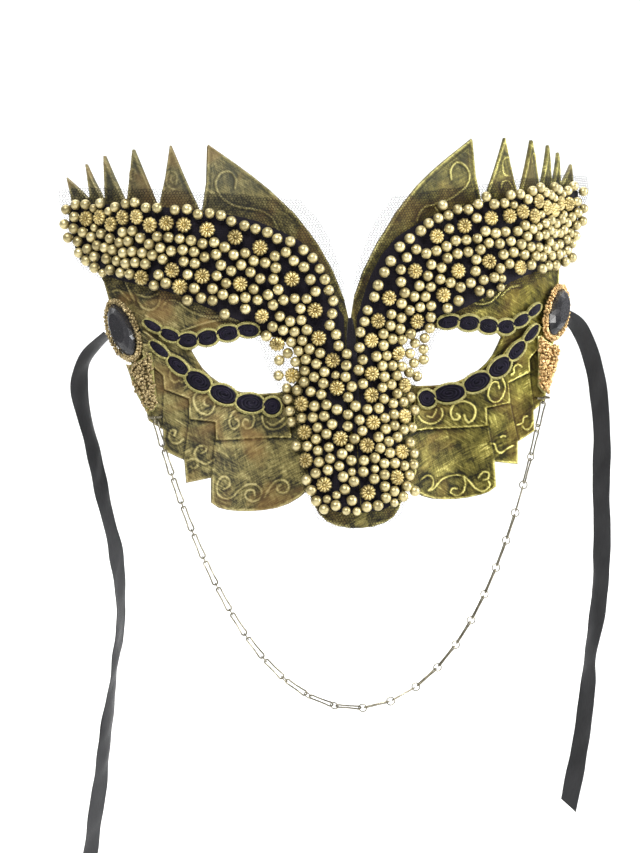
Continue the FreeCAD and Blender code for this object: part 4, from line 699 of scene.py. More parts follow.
def antique_gold(name, back=False):
    g = Nodes(name)
    patch = g.noise(55, 3, 0.55, distortion=0.6)
    fine = g.noise(520, 5, 0.65)
    mottle = g.noise(170, 4, 0.6, distortion=0.4)
    stroke_a = g.noise(150, 5, 0.68, g.mapping((1.0, 1.0, 11.0), (0, math.radians(26), 0)), 1.5)
    stroke_b = g.noise(130, 5, 0.68, g.mapping((1.0, 1.0, 12.0), (0, math.radians(-33), 0)), 1.5)
    stroke_c = g.noise(150, 3, 0.6, g.mapping((8.0, 1.0, 1.0), (0, math.radians(14), 0)), 1.2)
    which = g.noise(40, 2, 0.5, distortion=0.7)
    strokes = g.mix(g.span(which, 0.42, 0.56, 0.0, 1.0), stroke_a, stroke_b)
    strokes = g.math("ADD", g.math("MULTIPLY", strokes, 0.7), g.math("MULTIPLY", stroke_c, 0.3))
    strokes = g.span(strokes, 0.34, 0.66, 0.0, 1.0)
    # painted light: the right half of the mask is made lighter, yellower and glossier and the left half darker, as the
    # light falls on it; the same gradient also sets roughness and metallic
    lit_side_gradient = g.span(g.axis(0), -0.04, 0.06, 0.0, 1.0)
    # rubbed-through gold on rims, steps and curls, with a painted highlight along them, stronger on the lit right half
    wear_and_highlight = g.attribute("wear_and_highlight")
    # black patina in the corners, deepened with painted shade
    low = g.attribute("patina_and_shade")
    # how much gold shows: more on what stands up, as rubbed-through gold with a painted highlight, and less in the
    # corners, as black patina with painted shade
    gold_rub_and_light = g.math("ADD", g.math("MULTIPLY", g.span(mottle, 0.30, 0.70, 0.0, 1.0), 0.44), g.math("MULTIPLY", strokes, g.span(lit_side_gradient, 0.0, 1.0, 0.72, 0.62)))
    gold_rub_and_light = g.math("ADD", gold_rub_and_light, g.math("MULTIPLY", wear_and_highlight, g.span(lit_side_gradient, 0.0, 1.0, 0.30, 0.50)))
    gold_rub_and_light = g.math("SUBTRACT", gold_rub_and_light, g.math("MULTIPLY", low, 0.40))
    gold_rub_and_light = g.math("ADD", gold_rub_and_light, g.math("MULTIPLY", fine, 0.14))
    if back:
        colour = g.ramp(mottle, [(0.3, (0.030, 0.027, 0.016)), (0.7, (0.062, 0.055, 0.030))])
        g.to(colour, "Base Color")
        g.set(Metallic=0.15, Roughness=0.62)
        g.bump(fine, 0.25, 0.0002)
        return g.m
    # painted light and shade: a darker copy of the gold for the left half and a lighter copy for the right half, mixed
    # across the mask
    shaded_left_gold = g.ramp(gold_rub_and_light, [(0.34, (0.010, 0.009, 0.003)), (0.50, (0.056, 0.048, 0.015)), (0.66, (0.138, 0.114, 0.036)),
                         (0.84, (0.225, 0.190, 0.066)), (1.0, (0.400, 0.345, 0.150))])
    lit_right_gold = g.ramp(gold_rub_and_light, [(0.34, (0.010, 0.009, 0.002)), (0.50, (0.062, 0.053, 0.008)), (0.66, (0.118, 0.101, 0.017)),
                          (0.84, (0.240, 0.208, 0.040)), (1.0, (0.620, 0.560, 0.180))])
    colour = g.mix(lit_side_gradient, shaded_left_gold, lit_right_gold)
    ochre = g.ramp(patch, [(0.50, (0, 0, 0)), (0.64, (1, 1, 1))])
    colour = g.mix(g.math("MULTIPLY", ochre, g.span(lit_side_gradient, 0.0, 1.0, 0.52, 0.20)), colour, (0.215, 0.120, 0.032))
    spikes = g.span(g.axis(2), 0.050, 0.060, 0.0, 0.34)
    colour = g.mix(spikes, colour, (0.105, 0.102, 0.062))
    g.to(colour, "Base Color")
    g.to(g.math("SUBTRACT", g.span(gold_rub_and_light, 0.3, 1.1, 0.60, 0.36), g.math("MULTIPLY", lit_side_gradient, 0.10)), "Roughness")
    g.to(g.span(lit_side_gradient, 0.0, 1.0, 0.45, 0.80), "Metallic")
    g.bump(g.math("ADD", g.math("MULTIPLY", fine, 0.5), g.math("MULTIPLY", strokes, 1.8)), 0.45, 0.00035)
    return g.m


def bead_gold(name, tint=(1.0, 1.0, 1.0), rough=0.38):
    g = Nodes(name)
    n = g.noise(240, 3)
    f = g.noise(2600, 3)
    a = tuple(c * t for c, t in zip((0.290, 0.238, 0.112), tint))
    b = tuple(c * t for c, t in zip((0.520, 0.445, 0.228), tint))
    c = tuple(c * t for c, t in zip((0.680, 0.600, 0.345), tint))
    g.to(g.ramp(n, [(0.32, a), (0.52, b), (0.72, c)]), "Base Color")
    g.to(g.span(f, 0.3, 0.7, rough - 0.06, rough + 0.10), "Roughness")
    g.set(Metallic=0.80, Coat_Weight=0.10, Coat_Roughness=0.3)
    g.bump(f, 0.12, 0.00006)
    return g.m


def cloth_black(name, scale=2600, base=(0.006, 0.005, 0.008), sheen=0.10):
    g = Nodes(name)
    w = g.math("ADD", g.wave(scale * 0.2, direction="X"), g.wave(scale * 0.2, direction="Z"))
    n = g.noise(190, 4)
    lift = tuple(3.1 * c for c in base)
    g.to(g.mix(g.math("MULTIPLY", n, g.math("MULTIPLY", w, 0.5)), base, lift), "Base Color")
    g.set(Roughness=0.9, Sheen_Weight=sheen, Sheen_Roughness=0.5, Specular_IOR_Level=0.12)
    g.bump(w, 0.5, 0.00015)
    return g.m


def thread(name, dark, light, metallic, rough, scale=900, sheen=0.0):
    g = Nodes(name)
    n = g.noise(scale, 3)
    g.to(g.ramp(n, [(0.3, dark), (0.7, light)]), "Base Color")
    g.to(g.span(n, 0.3, 0.7, rough + 0.08, rough - 0.06), "Roughness")
    g.set(Metallic=metallic, Sheen_Weight=sheen, Sheen_Roughness=0.4, Specular_IOR_Level=0.5 if metallic else 0.10)
    g.bump(g.noise(scale * 4, 2), 0.3, 0.00008)
    return g.m


def stone_black(name):
    g = Nodes(name)
    n = g.noise(90, 3)
    s = g.noise(1400, 2)
    g.to(g.ramp(n, [(0.35, (0.010, 0.010, 0.012)), (0.75, (0.022, 0.021, 0.024))]), "Base Color")
    g.to(g.span(s, 0.35, 0.75, 0.24, 0.36), "Roughness")
    g.set(IOR=1.50, Coat_Weight=0.15, Coat_Roughness=0.12)
    g.bump(n, 0.05, 0.0002)
    return g.m


def chain_metal(name):
    g = Nodes(name)
    n = g.noise(420, 4)
    g.to(g.ramp(n, [(0.3, (0.085, 0.075, 0.050)), (0.5, (0.205, 0.186, 0.135)), (0.75, (0.440, 0.410, 0.320))]), "Base Color")
    g.to(g.span(n, 0.3, 0.7, 0.34, 0.18), "Roughness")
    g.set(Metallic=1.0)
    g.bump(g.noise(1500, 3), 0.1, 0.00005)
    return g.m


def satin_black(name):
    g = Nodes(name)
    across = g.wave(1900, direction="Z", distortion=0.4)
    n = g.noise(70, 4, distortion=0.5)
    fibre = g.noise(300, 3, 0.6, g.mapping((9.0, 9.0, 1.0)))
    g.to(g.ramp(g.math("ADD", g.math("MULTIPLY", n, 0.6), g.math("MULTIPLY", fibre, 0.4)),
                [(0.3, (0.009, 0.009, 0.010)), (0.7, (0.021, 0.021, 0.023))]), "Base Color")
    g.to(g.span(fibre, 0.3, 0.7, 0.52, 0.38), "Roughness")
    g.set(Sheen_Weight=0.08, Sheen_Roughness=0.35, Specular_IOR_Level=0.30)
    g.bump(g.math("ADD", g.math("MULTIPLY", across, 0.35), fibre), 0.35, 0.00012)
    return g.m


GOLD = antique_gold("antique_gold")
GOLD_BACK = antique_gold("plain_moulding_back", back=True)
BEAD = bead_gold("round_bead_gold")
FLOWER = bead_gold("flower_bead_gold", (1.10, 1.06, 0.95), 0.32)
# painted light and shade: the seed gold in a darker khaki copy for the left side and a lighter copper copy for the
# right side
SEED = {-1: bead_gold("seed_bead_khaki_gold_painted_shade", (0.66, 0.60, 0.58), 0.34), 1: bead_gold("seed_bead_copper_gold_painted_light", (1.10, 0.86, 0.74), 0.28)}
CLOTH_M = cloth_black("bead_cloth_black")
NET_M = thread("tulle_black", (0.006, 0.006, 0.008), (0.022, 0.021, 0.024), 0.0, 0.6)
VELVET = cloth_black("velvet_black", 1800, (0.006, 0.005, 0.008), 0.30)
BRAID_BLACK = thread("braid_cord_black", (0.003, 0.003, 0.006), (0.014, 0.011, 0.024), 0.0, 0.5, 700, 0.05)
BRAID_GOLD = thread("braid_thread_gold", (0.20, 0.18, 0.060), (0.56, 0.51, 0.20), 0.6, 0.40, 1300)
STONE = stone_black("stone_black")
CHAIN = chain_metal("chain_pale_gold")
SATIN = satin_black("ribbon_satin_black")

for node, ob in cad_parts.items():
    if node.startswith("chain_staple"):
        ob.data.materials.clear()
        ob.data.materials.append(CHAIN)

# ------------------------------------------------------------ tie ribbons
# flat satin ribbon, 9 mm wide; the routes are the plain solids' own
ROUTES = {
    "ribbon_left": [
        (-0.0844, 0.0184, 0.0078), (-0.0884, 0.0186, 0.0046), (-0.0932, 0.0189, -0.0006), (-0.0954, 0.0189, -0.0080),
        (-0.0946, 0.0186, -0.0160), (-0.0916, 0.0180, -0.0310), (-0.0876, 0.0174, -0.0570), (-0.0842, 0.0172, -0.0760),
        (-0.0843, 0.0174, -0.0960), (-0.0870, 0.0178, -0.1120), (-0.0896, 0.0182, -0.1260), (-0.0932, 0.0186, -0.1470),
        (-0.0966, 0.0188, -0.1660), (-0.1002, 0.0188, -0.1840),
    ],
    "ribbon_right": [
        (0.0844, 0.0184, 0.0082), (0.0892, 0.0187, 0.0060), (0.0934, 0.0190, -0.0014), (0.0964, 0.0190, -0.0110),
        (0.0986, 0.0188, -0.0240), (0.0991, 0.0184, -0.0400), (0.0981, 0.0180, -0.0560), (0.0980, 0.0178, -0.0760),
        (0.0972, 0.0176, -0.0920), (0.0950, 0.0178, -0.1080), (0.0923, 0.0182, -0.1220), (0.0912, 0.0186, -0.1380),
        (0.0886, 0.0188, -0.1560), (0.0830, 0.0188, -0.1800),
    ],
}


def spline_points(route, name):
    """The points of the route's own NURBS spline."""
    cu = bpy.data.curves.new(name + "_route", "CURVE")
    cu.dimensions = "3D"
    cu.resolution_u = 14
    sp = cu.splines.new("NURBS")
    sp.points.add(len(route) - 1)
    for p, c in zip(sp.points, route):
        p.co = (*c, 1.0)
    sp.order_u = 3
    sp.use_endpoint_u = True
    ob = bpy.data.objects.new(name + "_route", cu)
    scene.collection.objects.link(ob)
    bpy.context.view_layer.update()
    me = bpy.data.meshes.new_from_object(ob)
    pts = np.array([v.co for v in me.vertices], float)
    bpy.data.objects.remove(ob)
    bpy.data.curves.remove(cu)
    bpy.data.meshes.remove(me)
    return pts


# turn of the flat side about the ribbon's own line, in degrees, at places along it
TURNS = {
    "ribbon_left": [(0, 64), (0.04, 50), (0.10, 30), (0.16, 44), (0.30, 46), (0.45, 48), (0.54, 62), (0.62, 68), (0.70, 60), (0.80, 44), (1.0, 36)],
    "ribbon_right": [(0, -60), (0.05, -36), (0.12, -38), (0.25, -42), (0.45, -44), (0.60, -52), (0.67, -72), (0.74, -62), (0.84, -48), (1.0, -38)],
}
RIBBON_WIDE, RIBBON_THICK = 7.0, 0.28
for name, route in ROUTES.items():
    path = spline_points(route, name)
    p = path * 1000.0
    n = len(p)
    d = np.gradient(p, axis=0)
    d /= np.linalg.norm(d, axis=1, keepdims=True)
    arc = np.concatenate([[0], np.cumsum(np.linalg.norm(np.diff(p, axis=0), axis=1))])
    s = arc / arc[-1]
    turn = np.radians(np.interp(s, [t[0] for t in TURNS[name]], [t[1] for t in TURNS[name]]))
    kernel = np.hanning(9) / np.hanning(9).sum()
    turn = np.convolve(np.pad(turn, 4, mode="edge"), kernel, mode="valid")
    side = np.cross(d, [0.0, 1.0, 0.0])
    side /= np.linalg.norm(side, axis=1, keepdims=True)
    face = np.cross(side, d)
    w = side * np.cos(turn)[:, None] + face * np.sin(turn)[:, None]
    f = np.cross(w, d)
    cols = 13
    u = np.linspace(-1, 1, cols)
    sign = -1 if name.endswith("left") else 1
    phase = 0.0 if sign < 0 else 1.7
    wide = RIBBON_WIDE / 2 * (1 + 0.015 * np.sin(arc * 0.31 + phase))
    cup = 0.55 * np.sin(arc * 0.055 + phase) + 0.25
    crease = 0.22 * np.sin(arc[:, None] * 0.42 + 2.2 * u[None, :] + phase) * np.sin(arc[:, None] * 0.09 + 1.1 * phase)
    edge = 0.30 * np.sin(arc[:, None] * 0.21 + phase + np.where(u[None, :] > 0, 0.0, 2.0)) * np.abs(u[None, :]) ** 3
    bow = cup[:, None] * (u[None, :] ** 2 - 0.4) + crease + edge
    mid = p[:, None, :] + w[:, None, :] * (u[None, :, None] * wide[:, None, None]) + f[:, None, :] * bow[:, :, None]
    slant = 1.6 * sign
    mid[-1] += d[-1] * (u[:, None] * slant)
    mid[-2] += d[-2] * (u[:, None] * slant * 0.5)
    half = RIBBON_THICK / 2 * np.where(np.abs(u) > 0.93, 1.25, 1.0)[None, :, None]
    front, back = mid + f[:, None, :] * half, mid - f[:, None, :] * half
    v = np.concatenate([front.reshape(-1, 3), back.reshape(-1, 3)])
    m = n * cols
    i, j = np.meshgrid(np.arange(n - 1), np.arange(cols - 1), indexing="ij")
    a = (i * cols + j).ravel()
    q = np.stack([a, a + 1, a + cols + 1, a + cols], 1)
    quads = [q, q[:, ::-1] + m]
    i = np.arange(n - 1)
    for c, flip in ((0, False), (cols - 1, True)):
        e = np.stack([i * cols + c, (i + 1) * cols + c, (i + 1) * cols + c + m, i * cols + c + m], 1)
        quads.append(e[:, ::-1] if flip else e)
    j = np.arange(cols - 1)
    for r, flip in ((0, True), (n - 1, False)):
        e = np.stack([r * cols + j, r * cols + j + 1, r * cols + j + 1 + m, r * cols + j + m], 1)
        quads.append(e[:, ::-1] if not flip else e)
    ob = add_mesh(name + "_satin", v, [np.concatenate(quads)], SATIN, sharp=60, body=name + "_tie", slot="black_satin", replaces=[name])

# ------------------------------------------------------------ the moulding
# raised lines of the relief, places (x, z) on each half
SCROLLS_LEFT = [
    [(-42.3, -22.7), (-41.0, -23.9), (-41.8, -26.0), (-43.7, -26.0), (-44.4, -23.6), (-43.0, -20.6), (-39.8, -19.9), (-36.6, -21.1), (-35.3, -23.8), (-36.5, -26.2), (-38.6, -26.4), (-39.7, -24.8), (-38.8, -23.2), (-37.5, -23.9)],
    [(-30.4, -24.9), (-28.4, -26.2), (-26.1, -25.4), (-23.8, -23.8)],
    [(-32.2, -22.6), (-31.8, -25.4), (-29.7, -27.3), (-26.6, -27.5), (-23.7, -25.9), (-22.2, -23.6)],
    [(-54.0, -12.2), (-56.1, -14.1), (-56.2, -16.9), (-54.6, -19.7), (-51.8, -20.7), (-49.7, -18.8), (-49.3, -16.1), (-50.7, -14.2), (-52.4, -14.8), (-52.8, -16.9), (-51.4, -17.7)],
    [(-61.4, -3.4), (-63.5, -4.4), (-64.0, -6.7), (-62.8, -8.9), (-60.8, -8.4)],
    [(-60.2, -9.1), (-58.4, -8.4), (-57.9, -9.9), (-59.2, -10.9)],
    [(-63.6, -27.4), (-63.1, -26.0), (-64.7, -25.7), (-65.5, -28.1), (-64.4, -29.9), (-62.2, -30.2), (-60.7, -28.9)],
    [(-54.7, -34.1), (-53.1, -33.3), (-52.9, -31.8), (-55.4, -31.6), (-57.0, -34.0), (-55.9, -36.5), (-53.2, -37.9), (-50.4, -36.5)],
    [(-59.5, -36.4), (-57.5, -35.9), (-55.9, -37.6), (-57.1, -39.2), (-58.7, -38.6)],
    [(-47.4, -47.1), (-45.4, -46.0), (-45.6, -43.6), (-47.8, -42.7), (-49.7, -44.9), (-49.7, -48.3), (-47.5, -50.5), (-44.5, -50.3), (-41.9, -48.1), (-38.6, -46.3), (-35.2, -46.7), (-33.5, -49.3), (-34.9, -52.0), (-37.7, -52.2), (-39.7, -50.3), (-38.7, -48.4), (-36.4, -48.6), (-36.0, -50.3)],
    [(-32.6, -51.3), (-31.2, -48.8), (-28.7, -45.9), (-25.7, -45.2), (-23.9, -46.9), (-24.8, -49.3), (-27.1, -49.5), (-28.1, -47.9), (-26.5, -46.9)],
    [(-73.6, 22.0), (-70.0, 21.0), (-66.3, 22.4)],
    [(-73.6, 19.8), (-72.1, 17.5), (-69.4, 16.5), (-66.8, 18.1), (-66.0, 21.2)],
    [(-65.3, 17.9), (-63.3, 19.7), (-60.1, 19.0), (-57.5, 16.8), (-53.8, 14.6), (-49.7, 13.4), (-46.1, 13.5)],
    [(-59.2, 8.9), (-53.9, 10.5), (-48.3, 11.9), (-42.4, 12.6), (-39.1, 11.4)],
    [(-77.6, 27.7), (-76.4, 23.7), (-74.9, 19.8)],
    [(-81.8, 23.3), (-79.7, 23.7), (-77.9, 21.8), (-76.4, 19.8)],
    [(-71.3, 14.7), (-68.5, 11.0), (-65.0, 6.8)],
    [(-72.4, 9.1), (-68.8, 6.0), (-64.4, -0.2)],
    [(-38.5, 58.0), (-38.1, 61.0), (-39.9, 63.5), (-43.1, 63.3), (-45.2, 60.0), (-44.4, 56.3), (-41.6, 53.3), (-37.6, 51.4), (-32.7, 50.4), (-29.0, 49.3), (-26.1, 47.0), (-24.6, 43.4), (-23.5, 40.9)],
    [(-59.1, 59.8), (-58.4, 62.5), (-59.5, 64.2), (-61.2, 64.1), (-62.1, 61.4), (-61.5, 59.0), (-59.2, 58.1)],
    [(-60.3, 63.0), (-60.8, 61.4), (-59.9, 60.4)],
    [(-72.8, 63.4), (-72.3, 65.0), (-73.2, 65.9), (-74.1, 64.6), (-73.9, 62.7), (-73.0, 61.7)],
]
SCROLLS_RIGHT = [
    [(39.0, -25.1), (39.9, -26.0), (38.9, -27.2), (37.3, -26.8), (36.8, -24.4), (38.1, -21.7), (41.2, -20.6), (44.0, -21.6), (45.3, -23.9), (44.6, -26.9), (42.8, -28.3), (41.9, -27.2), (41.4, -25.5)],
    [(24.3, -25.6), (25.8, -27.4), (29.2, -28.5), (32.3, -27.5), (33.9, -25.2), (33.7, -23.2)],
    [(28.0, -25.8), (29.8, -26.3), (31.1, -24.9), (31.8, -23.5)],
    [(54.0, -16.5), (53.5, -14.2), (51.4, -14.4), (50.3, -16.3), (50.0, -19.2), (51.4, -21.1), (53.6, -21.1), (55.5, -18.9), (56.3, -15.8), (55.1, -12.5)],
    [(58.9, -11.9), (60.0, -11.1), (60.0, -9.3), (61.6, -8.3), (63.1, -9.1)],
    [(60.5, -30.1), (62.7, -29.5), (63.2, -27.4), (64.7, -27.2)],
    [(62.5, -30.5), (63.8, -32.0), (65.7, -31.5), (66.8, -29.6)],
    [(50.1, -36.1), (51.6, -36.5), (52.3, -38.7), (53.9, -39.8), (56.0, -38.4), (58.9, -37.4)],
    [(53.9, -34.1), (54.7, -33.6), (55.7, -33.9)],
    [(23.9, -47.5), (26.1, -46.5), (28.3, -47.8), (28.3, -50.4), (26.3, -52.0), (28.6, -51.4), (32.3, -48.4), (36.6, -47.2), (39.9, -47.7), (40.9, -50.5), (39.9, -53.5), (37.5, -54.7), (35.3, -53.4), (36.2, -51.9), (37.7, -52.2)],
    [(40.6, -47.6), (42.6, -50.0), (44.5, -52.3), (47.1, -53.3), (49.5, -51.3), (48.9, -49.8)],
    [(45.6, -48.3), (47.2, -46.3), (49.1, -46.8), (48.8, -48.8), (47.3, -49.2)],
    [(19.3, -41.9), (21.4, -44.1), (20.2, -46.5)],
    [(44.9, 14.9), (48.5, 14.1), (52.3, 14.9), (55.4, 17.4), (58.1, 20.5), (59.8, 22.1)],
    [(56.5, 16.8), (60.0, 19.6), (64.0, 20.2)],
    [(39.3, 58.9), (39.2, 62.2), (41.4, 64.9), (44.3, 63.8), (46.1, 60.6), (45.1, 56.9), (42.2, 54.2), (37.7, 51.7), (32.1, 50.0), (28.7, 49.3), (26.5, 46.8), (25.5, 44.5)],
    [(29.0, 49.4), (31.8, 49.7), (33.7, 48.0)],
    [(62.3, 62.2), (62.9, 64.5), (61.6, 66.4), (59.3, 65.6), (58.9, 63.3), (59.6, 60.1), (61.8, 59.7)],
    [(58.0, 55.5), (58.6, 57.4), (60.8, 57.9), (62.5, 55.8)],
    [(73.7, 66.1), (73.4, 68.0), (72.1, 66.8), (72.2, 64.7)],
]

# edges of the overlapping cheek plates: the plate on the nose side stands higher
PLATES = [((49.5, -29.8), (51.5, -42.9), (51.9, -51.8), 0.40), ((58.1, -22.0), (60.7, -36.3), (60.5, -44.4), 0.34),
          ((66.4, -11.2), (67.6, -25.4), (67.8, -32.7), 0.30)]
WALL, STEP = 1.3, 1.0


def smooth(t):
    t = np.clip(t, 0, 1)
    return t * t * (3 - 2 * t)


def visible(x, z):
    """Where the relief is fine: along the rims, the plate edges and the curls, but not under the bead cloth."""
    d = np.minimum(near(x, z, OUTLINE_HALF[1:-1], False), near(x, z, EYE, True))
    d = np.minimum(d, near(x, z, CHEEK_LAYER, True))
    for a, b, c3, _ in PLATES:
        d = np.minimum(d, near(x, z, [a, b, c3], False))
    d = np.where(z > 40, np.minimum(d, np.abs(near(x, z, OUTLINE_HALF[1:-1], False) - 2.05)), d)
    for lines, s in ((SCROLLS_RIGHT, 1), (SCROLLS_LEFT, -1)):
        for line in lines:
            q = curl(line)
            d = np.minimum(d, near(x * s, z, [tuple(p) for p in q], False) - 0.2)
    return (d < 1.15) & ~(inside(x, z, CLOTH) & (near(x, z, CLOTH, True) > 1.6))


step_line = resample(CHEEK_LAYER, 0.55)
c = np.array(step_line + [step_line[0]])
run = c[1:] - c[:-1]
run /= np.linalg.norm(run, axis=1, keepdims=True)
flip = 1.0 if sum(a[0] * b[1] - b[0] * a[1] for a, b in zip(CHEEK_LAYER, CHEEK_LAYER[1:] + CHEEK_LAYER[:1])) > 0 else -1.0
out = np.stack([run[:, 1], -run[:, 0]], 1) * flip
ring = lambda off: [tuple(p) for p in (c[:-1] + out * off)]
v2, t2 = triangulate(OUTLINE_HALF, [EYE], 1.35, dense=visible, fine=0.36, rim=0.5,
                     extra=[ring(0.0), ring(0.22), ring(-0.30)])
# the other half mirrored, joined along the middle
n2 = len(v2)
mid = np.abs(v2[:, 0]) < 1e-6
other = np.where(mid, np.arange(n2), -1)
free = np.where(~mid)[0]
other[free] = n2 + np.arange(len(free))
xz = np.concatenate([v2, v2[free] * [-1, 1]])
tri = np.concatenate([t2, other[t2][:, ::-1]])


def relief(x, z):
    """Height of the moulded relief, how much rubbed-through gold with a painted highlight is on it, and how deep in a
    corner it is, for black patina with painted shade.
    """
    ax = np.abs(x)
    edge = near(ax, z, OUTLINE_HALF[1:-1], False)
    eye = near(ax, z, EYE, True)
    h = np.zeros(len(x))
    # besides the height, a weight of rubbed-through gold along rims, steps, plate ridges and curls, with a painted
    # highlight on the same lines
    wear_and_highlight = np.zeros(len(x))
    # rim round every plate and spike, and a softer one round the eyes
    rim_w = np.clip(1 - np.abs(edge - 0.45) / 0.45, 0, 1) ** 0.8
    h += 0.28 * rim_w
    wear_and_highlight = np.maximum(wear_and_highlight, rim_w)
    rim2 = np.clip(1 - np.abs(eye - 0.6) / 0.6, 0, 1) ** 0.8
    h += 0.24 * rim2
    wear_and_highlight = np.maximum(wear_and_highlight, 0.45 * rim2)
    # second, thinner line inside the spikes
    tip = (z > 40)
    line2 = np.clip(1 - np.abs(edge - 2.05) / 0.34, 0, 1) * tip
    h += 0.13 * line2
    wear_and_highlight = np.maximum(wear_and_highlight, 0.55 * line2)
    # upper cheek layer
    sd = near(ax, z, CHEEK_LAYER, True) * np.where(inside(ax, z, CHEEK_LAYER), 1, -1)
    lay = smooth((sd + 0.22) / 0.22)
    h += STEP * lay
    cap = np.clip(1 - np.abs(sd - 0.38) / 0.38, 0, 1) ** 0.8
    h += 0.18 * cap
    wear_and_highlight = np.maximum(wear_and_highlight, 0.9 * cap)
    # black patina at the foot of the cheek step, darkened further as painted shade; the same below plate edges, beside
    # curls and inside the rim
    patina_and_shade = np.exp(-np.clip(-sd - 0.2, 0, 9) / 0.7) * (sd < -0.15)
    # cheek plates
    for a, b, c3, up in PLATES:
        line = np.interp(z, [c3[1], b[1], a[1]], [c3[0], b[0], a[0]])
        on = (z < a[1] + 0.5) & (z > c3[1] - 3) & (sd < 0)
        u = line - ax
        h += np.where(on & (ax > 15), up * smooth((u + 0.15) / 0.3), 0)
        ridge = np.clip(1 - np.abs(u - 0.30) / 0.30, 0, 1) * on
        h += 0.10 * ridge
        wear_and_highlight = np.maximum(wear_and_highlight, 0.30 * ridge)
        patina_and_shade = np.maximum(patina_and_shade, np.exp(-np.clip(-u - 0.1, 0, 9) / 0.6) * (u < -0.1) * on)
    # curls
    for lines, sel in ((SCROLLS_RIGHT, x >= 0), (SCROLLS_LEFT, x < 0)):
        k = np.where(sel)[0]
        for line in lines:
            q = curl(line)
            box = (x[k] > q[:, 0].min() - 3) & (x[k] < q[:, 0].max() + 3) & (z[k] > q[:, 1].min() - 3) & (z[k] < q[:, 1].max() + 3)
            kk = k[box]
            if not len(kk):
                continue
            d = near(x[kk], z[kk], [tuple(p) for p in q], False)
            small = min(np.ptp(q[:, 0]), np.ptp(q[:, 1])) < 5.0 and q[:, 1].mean() > 45
            wide = 0.32 if small else 0.40
            bead = np.sqrt(np.clip(1 - (d / wide) ** 2, 0, 1))
            h[kk] = np.maximum(h[kk], h[kk] + (0.22 if small else 0.30) * bead)
            wear_and_highlight[kk] = np.maximum(wear_and_highlight[kk], bead ** 1.5)
            patina_and_shade[kk] = np.maximum(patina_and_shade[kk], 0.55 * np.exp(-np.abs(d - 0.8) / 0.5) * (d > wide))
    patina_and_shade = np.maximum(patina_and_shade, 0.6 * np.exp(-np.abs(edge - 1.7) / 0.7) * (edge > 1.2))
    # cast unevenness
    h += 0.05 * np.sin(x * 0.83 + 1.1 * np.sin(z * 0.57)) * np.cos(z * 0.71 + 0.5)
    # flat where the chain's first rings swing past
    h *= 1 - np.exp(-((ax - 67.7) ** 2 + (z + 31.0) ** 2) / 10.0)
    h *= 1 - np.exp(-((ax - 70.3) ** 2 + ((z + 23.0) * 0.8) ** 2) / 14.0)
    # rounded-over edges
    round_off = np.minimum(edge, eye)
    round_off[ax < 1e-6] = np.minimum(edge, eye)[ax < 1e-6]
    h -= 0.42 * (1 - np.sqrt(np.clip(1 - (1 - np.clip(round_off / 0.5, 0, 1)) ** 2, 0, 1)))
    return h, wear_and_highlight, patina_and_shade


h, wear_and_highlight, patina_and_shade = relief(xz[:, 0], xz[:, 1])
covered = inside(np.abs(xz[:, 0]), xz[:, 1], CLOTH) & (near(np.abs(xz[:, 0]), xz[:, 1], CLOTH, True) > 0.8)
h = np.where(covered, np.minimum(h, 0.25), h)
front = point(xz[:, 0], xz[:, 1], h)
back = point(xz[:, 0], xz[:, 1], -WALL)
N = len(xz)
e = rim_edges(tri)
walls = np.stack([e[:, 1], e[:, 0], e[:, 0] + N, e[:, 1] + N], 1)
shell = add_mesh("moulding", np.concatenate([front, back]), [np.concatenate([tri, tri[:, ::-1] + N]), walls], [GOLD, GOLD_BACK],
                 index=np.concatenate([np.zeros(len(tri)), np.ones(len(tri)), np.zeros(len(walls))]), sharp=48,
                 slot="antique_gold_plastic", replaces=["mask_shell"])
# weights for the gold: rubbed-through gold with a painted highlight, and black patina with painted shade in the corners
float_layer(shell, "wear_and_highlight", np.concatenate([wear_and_highlight, wear_and_highlight * 0]))
float_layer(shell, "patina_and_shade", np.concatenate([patina_and_shade, patina_and_shade * 0]))
print("MOULDING", N, len(tri))

